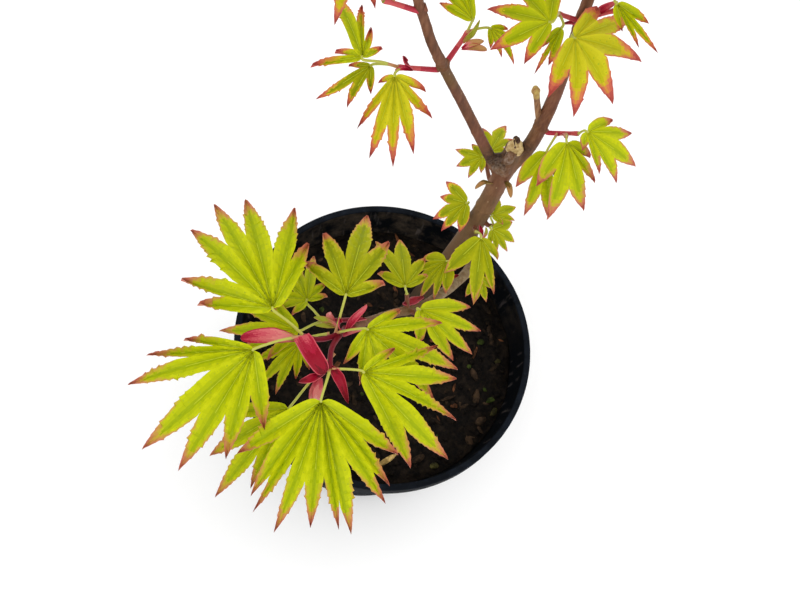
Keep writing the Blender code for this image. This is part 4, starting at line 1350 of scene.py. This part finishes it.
def fine_blade(leaf, frame, chance, look, shown):
    """A fine leaf in its place, as points, faces and slots."""
    blade = Blade(leaf, chance, look, shown)
    for i in range(len(blade.lobes)):
        for way in (-1, 1):
            blade.grow(i, way)
    away = np.array([0.0, 0.0, -FINE_THICKNESS])
    points, faces, slots = thicken(np.array(blade.points), blade.faces, blade.slots, away, UNDER_SLOTS)
    matrix = np.array(frame)
    return points @ matrix[:3, :3].T + matrix[:3, 3], faces, slots


def blade_slot(chance, look, along, across, margin, out):
    """The slot of a face from its place along and across its lobe, and its distances from the
    margin and from the blade's base, both as shares of the blade."""

    def blushed(pair):
        """A value for no blush and what full blush adds, as this leaf has it."""
        return pair[0] + pair[1] * look.blush

    least, growth = MARGIN_GROWTH
    wave, pitch = MARGIN_WAVES
    deep = blushed(MARGIN_DEPTH) * (least + growth * along ** 2) * (1 + wave * math.sin(pitch * out))
    low = blushed(MARGIN_START)
    red = max(0.0, 1 - margin / deep) * MARGIN_RED * float(eased(along, low, low + MARGIN_RISE))
    red += blushed(TIP_RED) * float(eased(along, blushed(TIP_START), 1.0))
    level = red * TINT_STEPS + chance.uniform(-TINT_STRAY, TINT_STRAY)
    if level >= 0.8:
        return LEAF_SLOTS["%s_%d" % (look.tips, min(max(int(level + 0.3), 1), TINT_STEPS))]
    # The pale vein, and past VEIN_END a dark green line, painted shade in the midrib's valley
    if across < VEIN_SHARE:
        return LEAF_SLOTS["vein" if along < VEIN_END else look.greens + "_1"]
    # Painted shade and painted light across the lobe, partly its own colour: darker by the vein, lighter on
    # the ridge, darker again on the lines of the ribs
    shade = float(np.interp(across, PAINTED_SHADE_PLACES, PAINTED_SHADE_LEVELS))
    if math.cos(math.tau * (out / HERRING_PITCH - 0.9 * across)) > 0.8:
        shade -= RIB_PAINTED_SHADE
    step = round(shade * (GREEN_STEPS - 1) + chance.uniform(-GREEN_STRAY, GREEN_STRAY))
    return LEAF_SLOTS["%s_%d" % (look.greens, min(max(step, 0), GREEN_STEPS - 1))]


def scale_slot(colour, t, c, chance):
    """The slot of a bract's face: t goes along it, and c from edge to edge is -1 to 1."""
    turn = t + 0.09 * math.sin(5 * c) + 0.04 * math.sin(23 * c) + chance.uniform(-STEP_STRAY, STEP_STRAY)
    tint = next(name for name, end in SCALE_STEPS[colour] if turn < end)
    return list(SCALE_COLOURS).index(SCALE_EDGES[colour] if abs(c) > EDGE_FROM else tint)


def scale_width(scale, t):
    """Half width of a bract along its line: a blunt one starts wide and stays wide to its end."""
    foot = 0.32 + 0.5 * max(0.0, scale.blunt - 0.9) * 10
    end = max(1 - t ** (1.6 + 6.0 * scale.blunt ** 2), 0.0) ** (0.8 - 0.4 * scale.blunt)
    return max(scale.half * min(1.0, foot + 1.5 * t) * end, SCALE_LEAST)


def fine_scale(scale, chance):
    """A bract: a thin strip along a curved line, with curled edges and fine folds."""
    line = smooth_curve(scale.line, SCALE_ROWS)
    last, columns = len(line) - 1, SCALE_COLUMNS
    points, faces, slots, ups = [], [], [], []
    for index, point in enumerate(line):
        t = index / last
        along = (line[min(index + 1, last)] - line[max(index - 1, 0)]).normalized()
        lean = Matrix.Rotation(math.radians(scale.lean), 3, along)
        side = along.cross(Vector((0, 0, 1))).normalized()
        ups.append(lean @ side.cross(along))
        side = lean @ side
        wide = scale_width(scale, t)
        for column in range(columns + 1):
            c = 2 * column / columns - 1
            rise = scale.curl * wide * c * c + SCALE_FOLD * math.sin(11 * c + 5 * t)
            points.append(np.array(point + side * wide * c + ups[-1] * rise))
    for row in range(last):
        for column in range(columns):
            start = row * (columns + 1) + column
            c = 2 * (column + 0.5) / columns - 1
            faces.append([start, start + columns + 1, start + columns + 2, start + 1])
            slots.append(scale_slot(scale.colour, (row + 0.5) / last, c, chance))
    away = np.repeat([-SCALE_THICKNESS * np.array(up) for up in ups], columns + 1, axis=0)
    return thicken(np.array(points), faces, slots, away, {})


def fine_stalk(stalk, frame, chance):
    """A slim leaf stalk, swollen where it leaves the shoot and where it meets the blade."""
    start = stalk[0]
    neck = frame @ Vector((-1.4, 0, -0.5))
    crest = start.lerp(neck, 0.5) + Vector((0, 0, 0.08 * (neck - start).length))
    line = smooth_curve([start, crest, neck, frame @ Vector((0.6, 0, -0.4))], 6)
    last = len(line) - 1
    foot, end = STALK_SWELLS
    radii = [STALK_RADIUS * (STALK_USUAL + foot * math.exp(-STALK_FADE * i / last)
                             + end * math.exp(-STALK_FADE * (1 - i / last))) for i in range(last + 1)]
    points, faces = tube(line, radii, STALK_SIDES)
    pink = chance.uniform(0.0, STALK_PINK) * last
    tints = ["stalk_pink" if ring < pink else "stalk" for ring in range(last)]
    return points, faces, ring_slots(["stalk", "stalk"], tints, STALK_SIDES)


def ring_slots(ends, tints, sides):
    """The slots of a shoot's two ends and of the faces of its rings, from their tints."""
    names = list(SHOOT_COLOURS)
    return [names.index(tint) for tint in [*ends, *(tint for tint in tints for _ in range(sides))]]


def fine_shoot(line, skin, girth):
    """A mass's stem with a swollen foot and a node at its end."""
    start, bend, middle, end = [Vector(p) for p in line]
    root = start - (bend - start).normalized() * ROOT_DEPTH
    curve = smooth_curve([root, start, bend, middle, end], 7)
    last = len(curve) - 1
    foot, fade = SHOOT_FOOT
    node, place, half = SHOOT_NODE
    radii = []
    for i in range(last + 1):
        t = i / last
        radius = STEM_RADIUS[0] + (STEM_RADIUS[1] - STEM_RADIUS[0]) * t
        swell = 1 + foot * math.exp(-fade * t) + node * math.exp(-((t - place) / half) ** 2)
        radii.append(radius * girth * swell)
    points, faces = tube(curve, radii, SHOOT_SIDES)
    tints = [shoot_tint(skin, ring / last) for ring in range(last)]
    return points, faces, ring_slots([skin, "shoot_green"], tints, SHOOT_SIDES)


def shoot_tint(skin, t):
    """A red shoot is brown at its foot and rosy at its end."""
    if skin != "shoot_red":
        return skin
    return "shoot_brown" if t < BROWN_PART else skin if t < RED_PART else "shoot_rose"


def shoot_skin(mass):
    """Dark crimson in the rosette, red on the leaders and brown on old wood."""
    if mass.name.startswith("leaves_low"):
        return "shoot_deep"
    return "shoot_red" if mass.limb.startswith("leader") else "shoot_brown"


def group_of(mass):
    """The group whose pieces a mass is joined into."""
    shown = next((group for group, names in GROUPS.items() if mass.name in names), None)
    return shown or "crown_" + mass.name.split("_")[1]


def leaf_look(mass, seen, chance):
    """A leaf's look, which is drawn by chance in the upper crown."""
    look = LOOKS.get(mass.name) or Look(chance.choice(CROWN_GREENS), "coral", "broad",
                                        chance.uniform(*CROWN_BLUSH))
    return look._replace(blush=look.blush + chance.uniform(-BLUSH_STRAY, BLUSH_STRAY),
                         greens=seen.greens if seen and seen.greens else look.greens)


def add_mass(blades, shoots, mass, line, leaves, chance):
    """Add a mass's fine leaves to a batch of blades, and its shoot and stalks to another."""
    shown_line = SHOWN_STEMS.get(mass.name)
    shoots.add(*fine_shoot(shown_line or line, shoot_skin(mass), SHOWN_GIRTH if shown_line else 1.0))
    shown = SHOWN_LEAVES.get(mass.name)
    for number, leaf in enumerate(leaf for leaf in leaves if leaf.lobes > 1):
        stalk, frame = leaf_place(leaf, line)
        seen = shown[number] if shown else None
        blades.add(*fine_blade(leaf, frame, chance, leaf_look(mass, seen, chance), seen))
        if shown_line:
            stalk[0] = stem_point([Vector(p) for p in shown_line], leaf.along)
        shoots.add(*fine_stalk(stalk, slid(frame, leaf, seen.slide if seen else (0, 0)), chance))


def make_foliage(grown, leaf_skins, scale_skins, shoot_skins):
    """The pieces of every group of masses: blades, bracts, and shoots with their stalks."""
    chance = random.Random(LOOK_SEED)
    groups = {}
    for mass, line, leaves in grown:
        groups.setdefault(group_of(mass), []).append((mass, line, leaves))
    for group, members in groups.items():
        blades, shoots = Batch(), Batch()
        for mass, line, leaves in members:
            add_mass(blades, shoots, mass, line, leaves, chance)
        piece = blades.piece("blades_" + group, leaf_skins)
        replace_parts(piece, *[mass.name for mass, line, leaves in members])
        dress(piece)
        dress(shoots.piece("shoots_" + group, shoot_skins, 60.0))
        if group in SCALES:
            scales = Batch()
            for scale in SCALES[group]:
                scales.add(*fine_scale(scale, chance))
            dress(scales.piece("bracts_" + group, scale_skins))


def slid(frame, leaf, slide):
    """A blade's frame moved along its face to where its base shows."""
    moved = frame.copy()
    moved.translation = frame @ Vector((*slide, bent(leaf.blade, slide[1], slide[0])))
    return moved


def placed(name, data):
    """A new object in the scene."""
    item = bpy.data.objects.new(name, data)
    bpy.context.scene.collection.objects.link(item)
    return item


def dress(item):
    """Let a piece ride on the plant's one body."""
    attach(item, "root")
    return item


def make_bark(skin):
    """Trunk and boughs grown into one skin, with ridges, node rings and a root flare."""
    batch = Batch()
    chance = random.Random(LOOK_SEED + 2)
    for name, limb in SHOWN_LIMBS.items():
        points, radii = limb_line(limb, BARK_STEPS)
        if name == "trunk":
            radii = trunk_radii(points, radii)
        else:
            radii = [r * (1 + FOOT_SWELL * math.exp(-(p - points[0]).length / SWELL_LENGTH))
                     for p, r in zip(points, radii)]
        batch.add(*tube(points, radii, BARK_SIDES), 0)
    for place, size in COLLAR_LUMPS:
        batch.add(*rough_lump(chance, place, size, COLLAR_TURN, COLLAR_TILT), 0)
    bark = batch.piece("bark", [skin])
    remesh = bark.modifiers.new("grow", "REMESH")
    remesh.mode = "VOXEL"
    remesh.voxel_size = BARK_VOXEL * MM
    bark.modifiers.new("ease", "SMOOTH").iterations = BARK_EASING
    bake_modifiers(bark)
    relief(bark.data)
    bark.data.shade_smooth()
    return bark


def make_twig(skin, knob_skin):
    """The young twig beside the stub, with the knob of a bud at its end."""
    line = smooth_curve(TWIG_LINE, TWIG_STEPS)
    radii = np.interp(np.arange(len(line)) / TWIG_STEPS, range(len(TWIG_RADII)), TWIG_RADII)
    points, faces = tube(line, radii.tolist(), TWIG_SIDES)
    slots = [0, 1] + [int(ring >= KNOB_RING) for ring in range(len(line) - 1) for _ in range(TWIG_SIDES)]
    batch = Batch()
    batch.add(points, faces, slots)
    return batch.piece("knob_twig", [skin, knob_skin], 60.0)


def bake_modifiers(item):
    """Replace an object's mesh with the one its modifiers make."""
    graph = bpy.context.evaluated_depsgraph_get()
    result = bpy.data.meshes.new_from_object(item.evaluated_get(graph))
    item.modifiers.clear()
    item.data = result


def relief(mesh):
    """Push the skin in and out: long ridges, rough patches low down and rings at the nodes."""
    rings = sorted({mass.height for mass in SHOWN_MASSES if mass.height < AT_TIP})
    places = np.empty(len(mesh.vertices) * 3)
    mesh.vertices.foreach_get("co", places)
    places = places.reshape(-1, 3)
    for place, normal in zip(places, mesh.vertex_normals):
        at = place / MM
        z = at[2]
        long = noise.noise(Vector(at * RIDGE_GRAIN))
        rough = noise.noise(Vector(at * ROUGH_GRAIN) + ROUGH_PLACE)
        push = RIDGE_DEPTH * long + ROUGH_DEPTH * rough * (1 + max(0, (ROUGH_BELOW - z) / ROUGH_LENGTH))
        push += RING_DEPTH * sum(math.exp(-((z - ring) / RING_HALF) ** 2) for ring in rings)
        place += np.array(normal.vector) * push * MM
    mesh.vertices.foreach_set("co", places.ravel())
    mesh.update()


def dome_faces(rings, segments):
    """Faces from a middle point over rings of points, closed by a cap on the last ring."""
    faces = []
    for segment in range(segments):
        after = (segment + 1) % segments
        faces.append([0, 1 + segment, 1 + after])
        for ring in range(rings - 1):
            start = 1 + ring * segments
            faces.append([start + segment, start + segments + segment, start + segments + after,
                          start + after])
    faces.append([1 + (rings - 1) * segments + s for s in range(segments)][::-1])
    return faces


def cut_slot(ring, segment):
    """Pale wood, with painted shade for a crack in its face and a grey rim of bark."""
    if segment in CRACK and ring < CRACK_RINGS:
        return 1
    return 2 if ring == CUT_RINGS - 2 else 0


def make_cut(skin, dark, rim):
    """The pruned stub's pale face, domed, with a dark middle, a crack painted as painted shade, and a
    splinter left at its back, dark with painted shade.
    """
    top = Vector(LIMBS["trunk"].bends[-1]) + Vector(CUT_MOVE)
    along = Vector(CUT_WAY).normalized()
    side = along.cross(Vector((0, 1, 0))).normalized()
    across = along.cross(side)
    points = [top + along * CUT_DOME]
    for ring in range(1, CUT_RINGS + 1):
        share = ring / CUT_RINGS
        for angle in around(CUT_SEGMENTS):
            reach = CUT_RADIUS * share * (1 + 0.07 * math.sin(3 * angle + 1) + 0.05 * math.sin(7 * angle))
            rough = noise.noise(Vector((*polar(2 * share, angle), 3.0)))
            lift = CUT_DOME - CUT_DOME * share ** 4 + CUT_ROUGH * rough
            if ring == CUT_RINGS:
                lift = -CUT_DEPTH
                reach *= CUT_FOOT
            points.append(top + along * lift + reach * (side * math.cos(angle) + across * math.sin(angle)))
    slots = []
    # Dark middle, painted shade along the crack, pale wood and the grey rim of each segment
    for segment in range(CUT_SEGMENTS):
        slots += [1, *(cut_slot(ring, segment) for ring in range(CUT_RINGS - 1))]
    batch = Batch()
    batch.add(points, dome_faces(CUT_RINGS, CUT_SEGMENTS), slots + [0])
    # The splinter, dark with painted shade
    place, radii, turn, tilt = SPLINTER
    chance = random.Random(LOOK_SEED + 3)
    batch.add(*rough_lump(chance, top + Vector(place), radii, turn, tilt), 1)
    return batch.piece("stub_cut", [skin, dark, rim], 60.0)


def lathe_points(profile, segments):
    """Points and faces of a closed solid of revolution from a closed profile of (radius, height)."""
    points, faces, rings = [], [], []
    for radius, height in profile:
        if radius == 0:
            rings.append([len(points)])
            points.append((0, 0, height))
            continue
        rings.append(list(range(len(points), len(points) + segments)))
        points += [(*polar(radius, angle), height) for angle in around(segments)]
    for ring, following in zip(rings, rings[1:]):
        for segment in range(segments):
            after = (segment + 1) % segments
            if len(ring) == 1:
                faces.append([ring[0], following[after], following[segment]])
            elif len(following) == 1:
                faces.append([ring[segment], ring[after], following[0]])
            else:
                faces.append([ring[segment], ring[after], following[after], following[segment]])
    return points, faces


def arc(centre, radius, start, end, count):
    """Points of an arc in a profile, between two angles in degrees."""
    turns = [math.radians(start + (end - start) * i / count) for i in range(count + 1)]
    return [tuple(middle + move for middle, move in zip(centre, polar(radius, turn))) for turn in turns]


def pot_profile():
    """Half a section of the pot: foot ring, stepped wall, rounded rim band, inner wall and floor."""
    neck = RIM_RADIUS - RIM_PROUD

    def wall(height):
        """Outside radius of the wall."""
        return BASE_RADIUS + (neck - BASE_RADIUS) * height / POT_HEIGHT

    band_foot = POT_HEIGHT - RIM_BAND
    ledge = band_foot - LEDGE_DEPTH
    profile = [(0, 1.0), (BASE_RADIUS - 9, 1.0), (BASE_RADIUS - 8, 0.2), (BASE_RADIUS - 7, 0.0)]
    profile += arc((BASE_RADIUS - BASE_CHAMFER, BASE_CHAMFER), BASE_CHAMFER, -90, 0, 6)
    for step in POT_STEPS:
        profile += [(wall(step) - 0.1, step - 0.6), (wall(step) + 0.25, step), (wall(step) + 0.2, step + 0.6)]
    profile += [(wall(band_foot - 3), band_foot - 3), (wall(band_foot) + 0.4, band_foot - 0.8)]
    profile += arc((RIM_RADIUS - 1.0, band_foot + 0.6), BAND_ROUND, -90, 0, 4)
    profile += [(RIM_RADIUS - 0.25, band_foot + RIM_BAND / 2)]
    profile += arc((RIM_RADIUS - LIP_ROUND, POT_HEIGHT - LIP_ROUND), LIP_ROUND, 0, 90, 5)
    profile += arc((inner_radius(POT_HEIGHT) + LIP_INNER_ROUND, POT_HEIGHT - LIP_INNER_ROUND),
                   LIP_INNER_ROUND, 90, 180, 5)
    profile += [(inner_radius(ledge) + 0.5, ledge + 1.0), (inner_radius(ledge), ledge)]
    return profile + [(inner_radius(FLOOR + 2), FLOOR + 2), (inner_radius(FLOOR) - 2, FLOOR), (0, FLOOR)]


def make_pot(skin, inside):
    """A blown nursery pot with drainage holes, dressed apart inside and outside."""
    batch = Batch()
    batch.add(*lathe_points(pot_profile(), POT_SEGMENTS), 0)
    pot = batch.piece("nursery_pot", [skin, inside], POT_SHARP)
    holes = Batch()
    for angle in around(HOLE_COUNT):
        centre = Vector((*polar(HOLE_RING, angle), 0))
        ends = [centre + Vector((0, 0, -FLOOR)), centre + Vector((0, 0, 2 * FLOOR))]
        holes.add(*tube(ends, [HOLE_RADIUS, HOLE_RADIUS], HOLE_SIDES), 0)
    drains = holes.piece("drains", [skin])
    cut = pot.modifiers.new("drain", "BOOLEAN")
    cut.operation = "DIFFERENCE"
    cut.object = drains
    bake_modifiers(pot)
    bpy.data.objects.remove(drains)
    pot.data.shade_smooth()
    pot.data.set_sharp_from_angle(angle=math.radians(POT_SHARP))
    for face in pot.data.polygons:
        x, y, z = face.center / MM
        if FLOOR < z < POT_HEIGHT - INSIDE_BELOW and math.hypot(x, y) < inner_radius(z) + INSIDE_SLACK:
            face.material_index = 1
    return pot


def soil_height(x, y):
    """Height of the mix's uneven top."""
    place = Vector((x * SOIL_PITCH, y * SOIL_PITCH, 2.0))
    bumps = sum(height * noise.noise(place * finer) for finer, height in SOIL_BUMPS)
    drop = SOIL_EDGE_DROP * (math.hypot(x, y) / inner_radius(SOIL_LEVEL)) ** 5
    return SOIL_LEVEL - 1.0 + bumps - drop


def make_soil(skin):
    """The potting mix: an uneven top, with its sides and underside inside the pot."""
    edge = inner_radius(SOIL_LEVEL - SOIL_EDGE_DROP) - 2 * GAP
    low = FLOOR + GAP
    foot = inner_radius(low) - 2 * GAP
    points = [(0, 0, soil_height(0, 0))]
    for ring in range(1, SOIL_RINGS + 1):
        for angle in around(SOIL_SEGMENTS):
            x, y = polar(edge * ring / SOIL_RINGS, angle)
            points.append((x, y, soil_height(x, y)))
    points += [(*polar(foot, angle), low) for angle in around(SOIL_SEGMENTS)]
    batch = Batch()
    batch.add(points, dome_faces(SOIL_RINGS + 1, SOIL_SEGMENTS), 0)
    return batch.piece("potting_mix", [skin], 70.0)


def rough_lump(chance, centre, radii, turn, tilt):
    """An irregular crumb: a ball of few faces pulled out of shape."""
    ball = bmesh.new()
    bmesh.ops.create_icosphere(ball, subdivisions=2, radius=1.0)
    seed = Vector([chance.uniform(0, 50) for _ in range(3)])
    spin = Matrix.Rotation(turn, 3, "Z") @ Matrix.Rotation(tilt, 3, "Y")
    points = []
    for vertex in ball.verts:
        shape = vertex.co * (1 + LUMP_ROUGH * noise.noise(vertex.co * LUMP_GRAIN + seed))
        points.append(Vector(centre) + spin @ Vector([a * b for a, b in zip(shape, radii)]))
    faces = [[v.index for v in face.verts] for face in ball.faces]
    ball.free()
    return points, faces


def drawn(chance, span):
    """A number between two, or the one number that is given."""
    return chance.uniform(*span) if isinstance(span, tuple) else span


def make_litter(skins):
    """Crumbs, bark chips and bits of moss that lie on the mix."""
    chance = random.Random(LOOK_SEED + 1)
    batch = Batch()
    edge = inner_radius(SOIL_LEVEL) - LITTER_EDGE
    for _ in range(LITTER_COUNT):
        x, y = polar(edge * math.sqrt(chance.random()), chance.uniform(0, math.tau))
        draw = chance.random()
        kind = next(kind for kind in LITTER_KINDS if draw < kind.until)
        size = drawn(chance, kind.sizes)
        radii = (size, size * drawn(chance, kind.widths), size * drawn(chance, kind.heights))
        skin = chance.choice(kind.skins) if isinstance(kind.skins, tuple) else kind.skins
        place = (x, y, soil_height(x, y) + radii[2] * LITTER_LIFT)
        turn, tilt = chance.uniform(0, math.tau), chance.uniform(-LITTER_TILT, LITTER_TILT)
        batch.add(*rough_lump(chance, place, radii, turn, tilt), LITTER_SKINS.index(skin))
    for chip in LARGE_CHIPS:
        place = (chip.x, chip.y, soil_height(chip.x, chip.y) + CHIP_LIFT)
        radii = (chip.length, chip.width, CHIP_HEIGHT)
        lump = rough_lump(chance, place, radii, math.radians(chip.turn), CHIP_TILT)
        batch.add(*lump, LITTER_SKINS.index(chip.skin))
    return batch.piece("litter", skins, 50.0)


def make_floor():
    """A wide pale floor."""
    mesh = bpy.data.meshes.new("floor")
    reach = FLOOR_REACH
    square = [(-reach, -reach, 0), (reach, -reach, 0), (reach, reach, 0), (-reach, reach, 0)]
    mesh.from_pydata(square, [], [[0, 1, 2, 3]])
    nodes = Nodes("floor_paint", 0.9, 0.2)
    nodes.colour(nodes.mask(nodes.noise(3.0, 2.0), (0.3, 0.98), (0.7, 0.99)))
    mesh.materials.append(nodes.material)
    floor = placed("floor", mesh)


def make_light(light):
    """A round soft lamp that looks at the plant."""
    data = bpy.data.lights.new(light.name, "AREA")
    data.energy = light.power
    data.shape = "DISK"
    data.size = light.size
    lamp = placed(light.name, data)
    lamp.location = light.place
    lamp.rotation_euler = (Vector(LIGHT_AIM) - Vector(light.place)).to_track_quat("-Z", "Y").to_euler()


def make_world():
    """Even white light from all round, with colours shown as they are."""
    world = bpy.data.worlds.new("studio")
    world.use_nodes = True
    background = world.node_tree.nodes["Background"]
    background.inputs["Color"].default_value = (1.0, 1.0, 1.0, 1.0)
    background.inputs["Strength"].default_value = WORLD_STRENGTH
    bpy.context.scene.world = world
    bpy.context.scene.view_settings.view_transform = "Standard"


def make_camera():
    """The photo's view."""
    data = bpy.data.cameras.new("camera")
    data.lens = CAMERA_LENS
    data.sensor_width = CAMERA_SENSOR
    camera = placed("camera", data)
    lean_x, lean_y = CAMERA_LEAN
    way = Vector((lean_x, lean_y, -math.sqrt(1 - lean_x ** 2 - lean_y ** 2)))
    right = way.cross(Vector((0, 1, 0))).normalized()
    axes = Matrix((right, right.cross(way), -way)).transposed().to_4x4()
    camera.matrix_world = Matrix.Translation(CAMERA_PLACE) @ axes
    bpy.context.scene.camera = camera


def main():
    """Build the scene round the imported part."""
    for item in list(bpy.data.objects):
        bpy.data.objects.remove(item)
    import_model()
    leaf_skins = [leaf_material(name, colour) for name, colour in leaf_colours().items()]
    scale_skins = [shoot_material(name, colour) for name, colour in SCALE_COLOURS.items()]
    shoot_skins = [shoot_material(name, colour) for name, colour in SHOOT_COLOURS.items()]
    make_foliage(grow_masses(), leaf_skins, scale_skins, shoot_skins)
    bark = dress(make_bark(bark_material()))
    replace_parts(bark, *LIMBS)
    twig = make_twig(twig_material("young_twig"), twig_material("knob"))
    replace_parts(dress(twig), "stub_twig")
    dress(make_cut(cut_material(), peat_material("pith"), rim_material()))
    pot = make_pot(pot_material("moulded_plastic", *POT_OUTSIDE, False),
                   pot_material("dirty_plastic", *POT_INSIDE, True))
    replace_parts(dress(pot), "pot")
    litter = [peat_material(name) for name in LITTER_SKINS]
    mix = litter[0]
    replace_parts(dress(make_soil(mix)), "soil")
    dress(make_litter(litter))
    make_floor()
    make_world()
    for light in LIGHTS:
        make_light(light)
    make_camera()


main()
